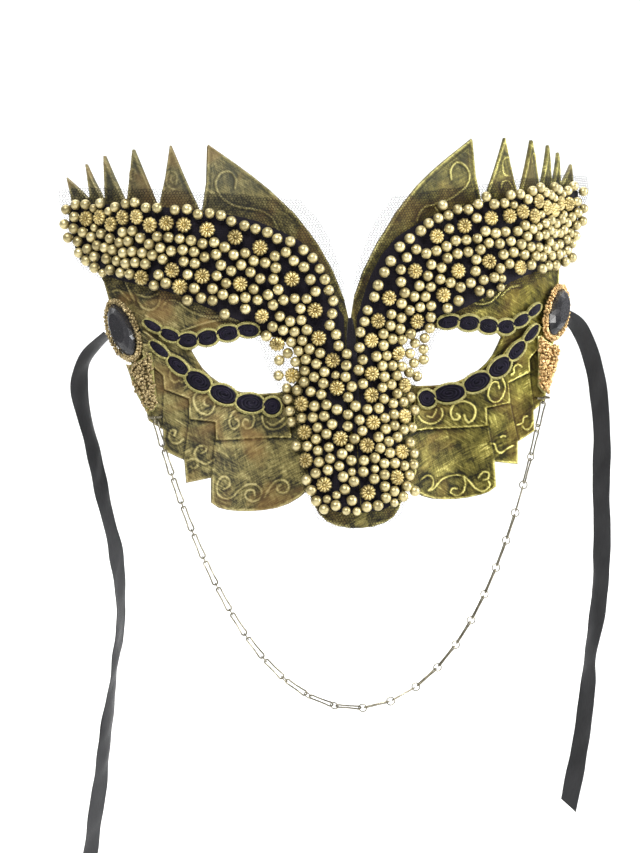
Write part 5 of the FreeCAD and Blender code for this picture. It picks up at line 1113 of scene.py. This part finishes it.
# ------------------------------------------------------------ cloth and tulle
for side, sign in (("left", -1), ("right", 1)):
    f = mirror if sign < 0 else (lambda p: p)
    cloth = skin(f(CLOTH), 0.50, 0.95, 1.5, "cloth_" + side, CLOTH_M, ripple=0.10, slot="black_cloth", replaces=["bead_cloth_" + side])
    m = cloth.data
    # tulle: a hexagon net, in threads where it shows past the cloth and a plain skin under it
    net = [(1.5, 14.0), (1.8, 24.0), (4.2, 33.6), (8.8, 44.2), (16.6, 53.6)] + NET[5:]
    if sign > 0:
        net[11:13] = [(96.0, 60.8), (103.0, 60.4), (102.6, 55.0), (100.2, 50.5), (97.6, 47.0)]
    poly = f(net)
    under = [(x * 0.985, z) for x, z in CLOTH]
    hx = Heap()
    cell = 1.02
    a = cell / math.sqrt(3)
    x0, x1 = 1.0, 104.0
    z0, z1 = -64.0, 62.0
    rows = int((z1 - z0) / (1.5 * a)) + 1
    cols = int((x1 - x0) / cell) + 1
    j, i = np.meshgrid(np.arange(rows), np.arange(cols), indexing="ij")
    cx = (x0 + (i + 0.5 * (j % 2)) * cell).ravel()
    cz = (z0 + j * 1.5 * a).ravel()
    corner = [(cx + a * math.cos(math.radians(g)), cz + a * math.sin(math.radians(g))) for g in (90, 30, -30, -90)]
    A = np.concatenate([np.stack(corner[k], 1) for k in (0, 1, 2)])
    B = np.concatenate([np.stack(corner[k], 1) for k in (1, 2, 3)])
    warp = lambda p: p + np.stack([0.22 * np.sin(p[:, 1] * 0.37 + 1), 0.22 * np.sin(p[:, 0] * 0.29)], 1) + 0.09 * np.stack(
        [np.sin(p[:, 0] * 5.1 + p[:, 1] * 3.3), np.cos(p[:, 0] * 4.3 - p[:, 1] * 4.9)], 1)
    A, B = warp(A) * [sign, 1], warp(B) * [sign, 1]
    cut = lambda p: inside(p[:, 0], p[:, 1], poly) & ~(inside(np.abs(p[:, 0]), p[:, 1], CLOTH) & (near(np.abs(p[:, 0]), p[:, 1], CLOTH, True) > 1.2))
    ok = cut(A) & cut(B)
    A, B = A[ok], B[ok]
    lift = lambda p: 0.30 + relief(p[:, 0], p[:, 1])[0].clip(0, 1.4) + 0.10 * np.sin(p[:, 0] * 0.8) * np.sin(p[:, 1] * 0.9)
    hx.add(*prisms(point(A[:, 0], A[:, 1], lift(A)), point(B[:, 0], B[:, 1], lift(B)), 0.085, 3))
    v, t = triangulate(f(CLOTH), [], 3.0, rim=2.0)
    nv = len(v)
    edge = rim_edges(t)
    hx.add(np.concatenate([point(v[:, 0], v[:, 1], 0.42), point(v[:, 0], v[:, 1], 0.34)]), np.concatenate([t, t[:, ::-1] + nv]),
           np.stack([edge[:, 1], edge[:, 0], edge[:, 0] + nv, edge[:, 1] + nv], 1))
    tulle = hx.make("net_" + side, NET_M, smooth=False, slot="black_tulle", replaces=["tulle_" + side])
    print("NET", side, len(A))

# velvet strip down the nose, folded over at its edges
velvet = skin(PIPING, 0.50, 1.25, 0.7, "velvet_strip", VELVET, ripple=0.05, slot="black_velvet", replaces=["velvet_nose_ribbon"])

# ------------------------------------------------------------ beads
def round_bead():
    """Unit bead about Z with its thread hole and a faint mould seam."""
    rows = [(0.0, 0.60), (0.17, 0.62), (0.21, 0.90), (0.255, 0.955)]
    for k in range(1, 12):
        a = math.radians(15.5 + (180 - 31) * k / 12)
        r = 1.0 + (0.012 if k == 6 else 0.0)
        rows.append((r * math.sin(a), 0.99 * math.cos(a)))
    rows += [(0.255, -0.955), (0.21, -0.90), (0.17, -0.62), (0.0, -0.60)]
    v, t, q = lathe(rows[::-1], 20)
    return v, t, q


def flower_bead(petals=11):
    """Unit daisy bead about Z: petals round a small button, on both faces."""
    rows = [(0.0, 0.34, 0), (0.085, 0.33, 0), (0.14, 0.27, 0), (0.17, 0.14, 0.2), (0.235, 0.24, 0.9), (0.36, 0.42, 1), (0.52, 0.49, 1),
            (0.70, 0.45, 1), (0.85, 0.33, 1), (0.96, 0.15, 1), (1.0, 0.0, 1), (0.96, -0.16, 1), (0.82, -0.33, 1), (0.5, -0.46, 0.8), (0.0, -0.46, 0)]
    lons = petals * 6
    v, t, q = lathe([(r, h) for r, h, _ in rows], lons)
    ang = np.arctan2(v[:, 1], v[:, 0])
    c = np.abs(np.cos(ang * petals / 2)) ** 0.8
    m = np.zeros(len(v))
    m[1:-1] = np.repeat([w for _, _, w in rows[1:-1]], lons)
    v[:, 2] *= 1 - 0.46 * m * (1 - c)
    rr = 1 - 0.13 * m * (1 - c)
    v[:, 0] *= rr
    v[:, 1] *= rr
    return v, t[:, ::-1], q[:, ::-1]


def bad_side(v, t, q):
    """True when the faces of a closed body look inwards."""
    tri = np.concatenate([t, q[:, [0, 1, 2]], q[:, [0, 2, 3]]])
    a, b, c = v[tri[:, 0]], v[tri[:, 1]], v[tri[:, 2]]
    return (a * np.cross(b, c)).sum() < 0


def facing_out(body):
    v, t, q = body
    return (v, t[:, ::-1], q[:, ::-1]) if bad_side(v, t, q) else body


ROUND, DAISY = facing_out(round_bead()), facing_out(flower_bead())


def place(body, centre, axes, size):
    """Copies of a small body: one at each centre, its own axes the rows of each 3 by 3."""
    v, t, q = body
    big = np.einsum("vi,nij->nvj", v, axes) * size[:, None, None] + centre[:, None, :]
    m, n = len(centre), len(v)
    base = (np.arange(m) * n)[:, None, None]
    return big.reshape(-1, 3), (t[None] + base).reshape(-1, 3), (q[None] + base).reshape(-1, 4)


for name, places in BEADS.items():
    small = len(SMALL.get(name, []))
    p = np.array(places + SMALL.get(name, []), float)
    r = (3.7 if name.startswith("border") else 3.8) / 2
    u, v, n = frames(p[:, 0], p[:, 1])
    m = len(p)
    a = rng.uniform(0, np.pi, m)
    axis = u * np.cos(a)[:, None] + v * np.sin(a)[:, None] + n * rng.normal(0, 0.22, m)[:, None]
    axis /= np.linalg.norm(axis, axis=1, keepdims=True)
    b = np.cross(axis, n)
    b /= np.linalg.norm(b, axis=1, keepdims=True)
    axes = np.stack([b, np.cross(axis, b), axis], 1)
    size = r * rng.normal(1.0, 0.018, m).clip(0.95, 1.035)
    centre = point(p[:, 0], p[:, 1], 1.10 + r + rng.uniform(-0.15, 0.25, m))
    if small:
        size[-small:] = 1.55
        centre[-small:] = point(p[-small:, 0], p[-small:, 1], 1.10 + 1.55)
    V, T, Q = place(ROUND, centre, axes, size)
    add_mesh(name + "_gold", V, [T, Q], BEAD, sharp=60, slot="gold_round_bead", replaces=[name])

for name, places in FLOWERS.items():
    p = np.array(places, float)
    u, v, n = frames(p[:, 0], p[:, 1])
    m = len(p)
    n = n + u * rng.normal(0, 0.10, m)[:, None] + v * rng.normal(0, 0.10, m)[:, None]
    n /= np.linalg.norm(n, axis=1, keepdims=True)
    a = rng.uniform(0, np.pi, m)
    b = u * np.cos(a)[:, None] + v * np.sin(a)[:, None]
    b -= n * (b * n).sum(1, keepdims=True)
    b /= np.linalg.norm(b, axis=1, keepdims=True)
    axes = np.stack([b, np.cross(n, b), n], 1)
    centre = point(p[:, 0], p[:, 1], 1.4 + 1.4 + 0.15)
    V, T, Q = place(DAISY, centre, axes, np.full(m, 2.85) * rng.normal(1.0, 0.015, m))
    add_mesh(name + "_gold", V, [T, Q], FLOWER, sharp=75, slot="gold_flower_bead", replaces=[name])


def seeds_at(places, size, squash=0.8):
    """Seed beads: short rings, turned every way."""
    rows = [(0.0, 0.30), (0.30, 0.42), (0.62, 0.60), (0.88, 0.40), (1.0, 0.0), (0.88, -0.40), (0.62, -0.60), (0.30, -0.42), (0.0, -0.30)]
    body = facing_out(lathe(rows, 10))
    m = len(places)
    z = rng.normal(0, 1, (m, 3))
    z /= np.linalg.norm(z, axis=1, keepdims=True)
    x = np.cross(z, rng.normal(0, 1, (m, 3)))
    x /= np.linalg.norm(x, axis=1, keepdims=True)
    return place(body, places, np.stack([x, np.cross(z, x), z], 1), np.broadcast_to(size, (m,)).astype(float))


# ------------------------------------------------------------ braids round the eyes
def rope(line, radius, strand, pitch):
    """Two thin threads twisted round a line."""
    p = np.asarray(line, float)
    d = np.gradient(p, axis=0)
    d /= np.maximum(np.linalg.norm(d, axis=1, keepdims=True), 1e-9)
    arc = np.concatenate([[0], np.cumsum(np.linalg.norm(np.diff(p, axis=0), axis=1))])
    m = max(8, int(arc[-1] / 0.16))
    s = np.linspace(0, arc[-1], m)
    c = np.stack([np.interp(s, arc, p[:, k]) for k in range(3)], 1)
    t = np.stack([np.interp(s, arc, d[:, k]) for k in range(3)], 1)
    t /= np.linalg.norm(t, axis=1, keepdims=True)
    u = np.cross(t, [0.0, 1.0, 0.0])
    u /= np.maximum(np.linalg.norm(u, axis=1, keepdims=True), 1e-9)
    w = np.cross(t, u)
    made = []
    for k in (0, 1):
        g = 2 * np.pi * s / pitch + np.pi * k
        made.append(tube(c + (u * np.cos(g)[:, None] + w * np.sin(g)[:, None]) * radius, strand, 6))
    return made


def oval_at(o, t, scale=1.0, grow=0.0):
    cx, cz, w, h, lean = o
    a = math.radians(lean)
    x, z = (0.5 * w * scale + grow) * np.cos(t), (0.5 * h * scale + grow) * np.sin(t)
    return cx + x * math.cos(a) - z * math.sin(a), cz + x * math.sin(a) + z * math.cos(a)


for which, ovals, base in (("upper", UPPER_OVALS, 1.05), ("lower", LOWER_OVALS, 1.25)):
    for side, sign in (("left", -1), ("right", 1)):
        hp = Heap()
        for k, o in enumerate(ovals):
            # wound black cord: a spiral from the rim to the middle, over a padded oval
            turns = 3.4
            t = np.linspace(0, 2 * np.pi * turns, 110)
            shrink = 1 - 0.86 * (t / t[-1]) ** 0.92
            x, z = oval_at(o, t, 1.0)
            cx, cz = o[0], o[1]
            x, z = cx + (x - cx) * 0.90 * shrink, cz + (z - cz) * 0.90 * shrink
            dome = base + 0.62 + 0.85 * (1 - shrink ** 2)
            hp.add(*tube(point(x * sign, z, dome), 0.37, 7), m=0)
            rows, lons = 5, 26
            ang = 2 * np.pi * np.arange(lons) / lons
            vv = []
            for r, up in ((1.0, 0.02), (1.0, 0.35), (0.72, 0.75), (0.36, 1.0)):
                ox, oz = oval_at(o, ang, r * 0.96)
                vv.append(point(ox * sign, oz, base + up))
            vv.append(point([o[0] * sign], [o[1]], base + 1.08))
            vv.append(point([o[0] * sign], [o[1]], base + 0.02))
            V = np.concatenate(vv)
            q, tt = [], []
            for i in range(3):
                for j in range(lons):
                    j2 = (j + 1) % lons
                    q.append([i * lons + j, i * lons + j2, (i + 1) * lons + j2, (i + 1) * lons + j])
            for j in range(lons):
                j2 = (j + 1) % lons
                tt.append([3 * lons + j, 3 * lons + j2, 4 * lons])
                tt.append([j2, j, 4 * lons + 1])
            body = facing_out((V, np.array(tt), np.array(q)))
            hp.add(*body, m=0)
        # two gold threads weave over and under the row, crossing between the ovals
        for strand in (0, 1):
            line = []
            for k, o in enumerate(ovals):
                up = (k + strand) % 2 == 0
                t = np.linspace(np.pi, 0, 22) if up else np.linspace(np.pi, 2 * np.pi, 22)
                x, z = oval_at(o, t, 1.0, 0.12)
                lift = base + 0.75 + 0.30 * np.cos(np.linspace(-np.pi, np.pi, 22)) * (1 if up else -0.2)
                line.append(np.stack([x, z, lift], 1))
            line = np.concatenate(line)
            for _ in range(3):
                line[1:-1] = 0.25 * line[:-2] + 0.5 * line[1:-1] + 0.25 * line[2:]
            for part in rope(point(line[:, 0] * sign, line[:, 1], line[:, 2]), 0.17, 0.20, 1.1):
                hp.add(*part, m=1)
        # and a finer picot edge outside it
        for strand in (0, 1):
            for k, o in enumerate(ovals):
                t = (np.linspace(0.14 * np.pi, 0.86 * np.pi, 40) if strand == 0 else np.linspace(1.14 * np.pi, 1.86 * np.pi, 40))
                wob = 0.15 * np.sin(np.arange(40) * 1.9)
                x, z = oval_at(o, t, 1.0, 0.50)
                cx, cz = o[0], o[1]
                rr = np.hypot(x - cx, z - cz)
                x, z = cx + (x - cx) * (1 + wob / rr), cz + (z - cz) * (1 + wob / rr)
                hp.add(*tube(point(x * sign, z, base + 0.55 + 0.12 * np.cos(np.arange(40) * 1.9)), 0.15, 6), m=1)
        hp.make("%s_braid_%s_cord" % (which, side), [BRAID_BLACK, BRAID_GOLD], sharp=70, slot="sequin_braid",
                replaces=["%s_braid_%s" % (which, side)])

# ------------------------------------------------------------ temple stones, their beading and the fringe below
GEM = (78.4, 9.4)
for side, sign in (("left", -1), ("right", 1)):
    u, v, n = (k[0] for k in frames([GEM[0] * sign], [GEM[1]], math.radians(42.0 if sign > 0 else 33.0)))
    c = point([GEM[0] * sign], [GEM[1]], 0.9)[0]
    A, B, H = 10.5, 4.5, 4.8
    count = 16
    rings = []
    for level, scale, shift in ((0.0, 0.90, 0), (0.22, 0.99, 0), (0.34, 1.0, 0), (0.74, 0.80, 0.5), (1.0, 0.56, 0)):
        t = 2 * np.pi * (np.arange(count) + shift) / count
        rings.append(c + np.outer(np.cos(t) * A * scale, u) + np.outer(np.sign(np.sin(t)) * np.abs(np.sin(t)) ** 1.08 * B * scale, v) + n * H * level)
    V = np.concatenate(rings + [[c], [c + n * (H + 0.0)]])
    q, t3 = [], []
    for k in range(count):
        k2 = (k + 1) % count
        for i in (0, 1):
            q.append([i * count + k, i * count + k2, (i + 1) * count + k2, (i + 1) * count + k])
        # kite facets: girdle to the shifted ring, and that to the table
        t3 += [[2 * count + k, 2 * count + k2, 3 * count + k], [2 * count + k2, 3 * count + k2, 3 * count + k]]
        t3 += [[3 * count + k, 4 * count + k2, 4 * count + k], [3 * count + k, 3 * count + k2, 4 * count + k2]]
        t3 += [[4 * count + k, 4 * count + k2, 5 * count + 1], [k2, k, 5 * count]]
    body = facing_out((V, np.array(t3), np.array(q)))
    gem = Heap()
    gem.add(*body)
    gem.make("stone_" + side, STONE, smooth=False, slot="black_stone", replaces=["temple_stone_" + side])
    # two rows of seed beads round it
    hp = Heap()
    for grow, lift, num, size in ((0.40, 2.5, 46, 0.74), (1.35, 2.0, 52, 0.78), (0.95, 3.0, 44, 0.68)):
        t = 2 * np.pi * np.arange(num) / num
        q3 = c + np.outer(np.cos(t) * (A + grow), u) + np.outer(np.sin(t) * (B + grow), v)
        foot = point(q3[:, 0], q3[:, 2], 0)
        m = normal(q3[:, 0], q3[:, 2])
        up = ((q3 - foot) * m).sum(1)
        q3 = q3 + m * (np.maximum(lift, 0.9 + size) - up)[:, None] + rng.normal(0, 0.10, (num, 3))
        hp.add(*seeds_at(q3, size * rng.uniform(0.9, 1.08, num)))
    hp.make("stone_beading_" + side, SEED[sign], sharp=80, slot="pale_gold_seed", replaces=["stone_border_beads_" + side])
    # fringe: seeds heaped in short strands
    poly = mirror(FRINGE) if sign < 0 else FRINGE
    hp = Heap()
    xs, zs = [], []
    for layer, size, lift in ((0, 0.80, 2.0), (1, 0.74, 2.9)):
        gx, gz = lattice(66, 80, -20, 2.5, 1.2)
        gx = gx + rng.uniform(-0.42, 0.42, len(gx)) + 0.5 * layer
        gz = gz + rng.uniform(-0.42, 0.42, len(gz))
        ok = inside(gx, gz, FRINGE) & (near(gx, gz, FRINGE, True) > (0.10 + 0.5 * layer + rng.uniform(0.0, 0.5, len(gx))))
        gx, gz = gx[ok] * sign, gz[ok]
        q3 = point(gx, gz, lift + rng.uniform(-0.22, 0.22, len(gx)))
        hp.add(*seeds_at(q3, size * rng.uniform(0.85, 1.12, len(gx))))
    # backing thread pad, so that no gap shows through
    v, t = triangulate(poly, [], 2.0, rim=1.0)
    m = len(v)
    ed = rim_edges(t)
    hp.add(np.concatenate([point(v[:, 0], v[:, 1], 1.75), point(v[:, 0], v[:, 1], 1.35)]), np.concatenate([t, t[:, ::-1] + m]),
           np.stack([ed[:, 1], ed[:, 0], ed[:, 0] + m, ed[:, 1] + m], 1), m=1)
    hp.make("seed_fringe_%s_beads" % side, [SEED[sign], BRAID_GOLD], sharp=80, slot="pale_gold_seed", replaces=["seed_fringe_" + side])
    # ribbon end glued behind the temple
    tab = skin(mirror(TAB) if sign < 0 else TAB, -2.55, -1.55, 1.2, "ribbon_end_" + side, SATIN, ripple=0.05, slot="black_satin",
               replaces=["ribbon_patch_" + side])

# ------------------------------------------------------------ chain
BAR_Y, BAR_Z, HALF_SPAN, SAG = -0.869, -20.6, 70.4, 108.5
RING_R, RING_W = 1.42, 0.22
DROP = RING_R - RING_W - 0.4 - 0.12
lo, hi = 5.0, 200.0
for _ in range(80):
    m = (lo + hi) / 2
    if m * (math.cosh(HALF_SPAN / m) - 1) > SAG:
        lo = m
    else:
        hi = m
CAT = (lo + hi) / 2
HALF_LEN = CAT * math.sinh(HALF_SPAN / CAT)
UNITS = 26
PITCH = 2 * HALF_LEN / UNITS


def hang(arc):
    x = CAT * math.asinh(arc / CAT)
    t = np.array([1.0, 0.0, math.sinh(x / CAT)])
    return np.array([x, BAR_Y, BAR_Z - DROP - SAG + CAT * (math.cosh(x / CAT) - 1)]), t / np.linalg.norm(t)


def twist_at(k):
    steps = [(0, 0), (9, 0), (15, 90), (21, 90), (25, 0), (26, 0)]
    return math.radians(float(np.interp(k, [s[0] for s in steps], [s[1] for s in steps])))


Y = np.array([0.0, 1.0, 0.0])
links, rings = Heap(), Heap()
for k in range(UNITS + 1):
    p, t = hang(-HALF_LEN + k * PITCH)
    turn = 0.5 * (twist_at(max(k - 1, 0)) + twist_at(k))
    side = np.cross(Y, t)
    side /= np.linalg.norm(side)
    axis = side * math.cos(turn) + Y * math.sin(turn)
    a1 = np.cross(axis, t)
    a1 /= np.linalg.norm(a1)
    a2 = np.cross(axis, a1)
    g = 2 * np.pi * np.arange(30) / 30
    rings.add(*tube(p + RING_R * (np.outer(np.cos(g), a1) + np.outer(np.sin(g), a2)), RING_W, 9, closed=True, ref=axis))
for k in range(UNITS):
    p0, p1 = hang(-HALF_LEN + k * PITCH)[0], hang(-HALF_LEN + (k + 1) * PITCH)[0]
    d = (p1 - p0) / np.linalg.norm(p1 - p0)
    a, b = p0 + d * 0.66, p1 - d * 0.66
    side = np.cross(Y, d)
    side /= np.linalg.norm(side)
    tw = twist_at(k)
    s = side * math.cos(tw) + Y * math.sin(tw)
    wide, narrow = 2.5 / 2 - 0.3, 0.80
    pts = []
    for i in range(13):
        g = math.pi * (0.5 + i / 12)
        pts.append(a + d * (narrow * math.cos(g) + narrow) + s * (narrow * math.sin(g)))
    e0, e1 = pts[-1], b + d * (-wide) - s * wide
    for i in range(1, 9):
        f = i / 9
        pts.append(e0 * (1 - f) + e1 * f + s * (0.16 * math.sin(math.pi * f)))
    for i in range(13):
        g = math.pi * (-0.5 + i / 12)
        pts.append(b + d * (wide * math.cos(g) - wide) + s * (wide * math.sin(g)))
    e0, e1 = pts[-1], pts[0]
    for i in range(1, 9):
        f = i / 9
        pts.append(e0 * (1 - f) + e1 * f - s * (0.16 * math.sin(math.pi * f)))
    links.add(*tube(np.array(pts), 0.3, 9, closed=True, ref=np.cross(d, s)))
links.make("chain_links_wire", CHAIN, body="chain", slot="pale_gold_chain", replaces=["chain_links"])
rings.make("chain_rings_wire", CHAIN, body="chain", slot="pale_gold_chain", replaces=["chain_rings"])

# ------------------------------------------------------------ floor, backdrop and light
def stage_material(name, tone, rough):
    g = Nodes(name)
    n = g.noise(3.0, 3)
    g.to(g.ramp(n, [(0.3, (tone - 0.012,) * 3), (0.7, (tone,) * 3)]), "Base Color")
    g.set(Roughness=rough, Specular_IOR_Level=0.1)
    return g.m


floor_z = cad_box[0][2] - 0.020
prof = [(-4.0, 0.0), (1.3, 0.0)] + [(1.3 + 1.0 * math.sin(a), 1.0 - 1.0 * math.cos(a)) for a in np.linspace(0.05, math.pi / 2, 14)] + [(2.3, 4.0)]
verts, quads = [], []
for y, z in prof:
    verts += [(-5.0, y, floor_z + z), (5.0, y, floor_z + z)]
for k in range(len(prof) - 1):
    quads.append((2 * k, 2 * k + 1, 2 * k + 3, 2 * k + 2))
me = bpy.data.meshes.new("floor_and_backdrop")
me.from_pydata(verts, [], quads)
me.materials.append(stage_material("pale_floor", 0.93, 0.9))
me.shade_smooth()
floor = bpy.data.objects.new("floor_and_backdrop", me)
scene.collection.objects.link(floor)

world = bpy.data.worlds.new("soft_studio")
scene.world = world
world.use_nodes = True
wt = world.node_tree
bg = wt.nodes["Background"]
bg.inputs["Color"].default_value = (0.96, 0.98, 1.0, 1)
bg.inputs["Strength"].default_value = 0.34


def softbox(name, place, aim, size, power, colour=(1, 1, 1)):
    d = bpy.data.lights.new(name, "AREA")
    d.shape = "RECTANGLE"
    d.size, d.size_y = size
    d.energy = power
    d.color = colour
    ob = bpy.data.objects.new(name, d)
    ob.location = place
    ob.rotation_euler = (Vector(aim) - Vector(place)).to_track_quat("-Z", "Y").to_euler()
    scene.collection.objects.link(ob)
    return ob


softbox("key", (-0.35, -0.85, 0.95), (0, 0, 0), (0.55, 0.45), 17.0, (1.0, 0.985, 0.96))
softbox("window", (1.15, -0.45, 0.30), (0.05, 0.0, 0.0), (0.45, 0.9), 21.0, (0.97, 0.99, 1.0))
softbox("top", (0.0, 0.35, 1.15), (0, 0.2, 0), (1.4, 0.5), 8.0)
softbox("floor_light", (0.0, 0.75, 1.0), (0, 0.9, -0.2), (2.0, 0.6), 8.0)
softbox("backdrop_light", (0.0, 0.45, 1.5), (0, 2.4, 0.8), (2.4, 0.6), 31.0)

scene.view_settings.view_transform = "Standard"
scene.view_settings.look = "None"
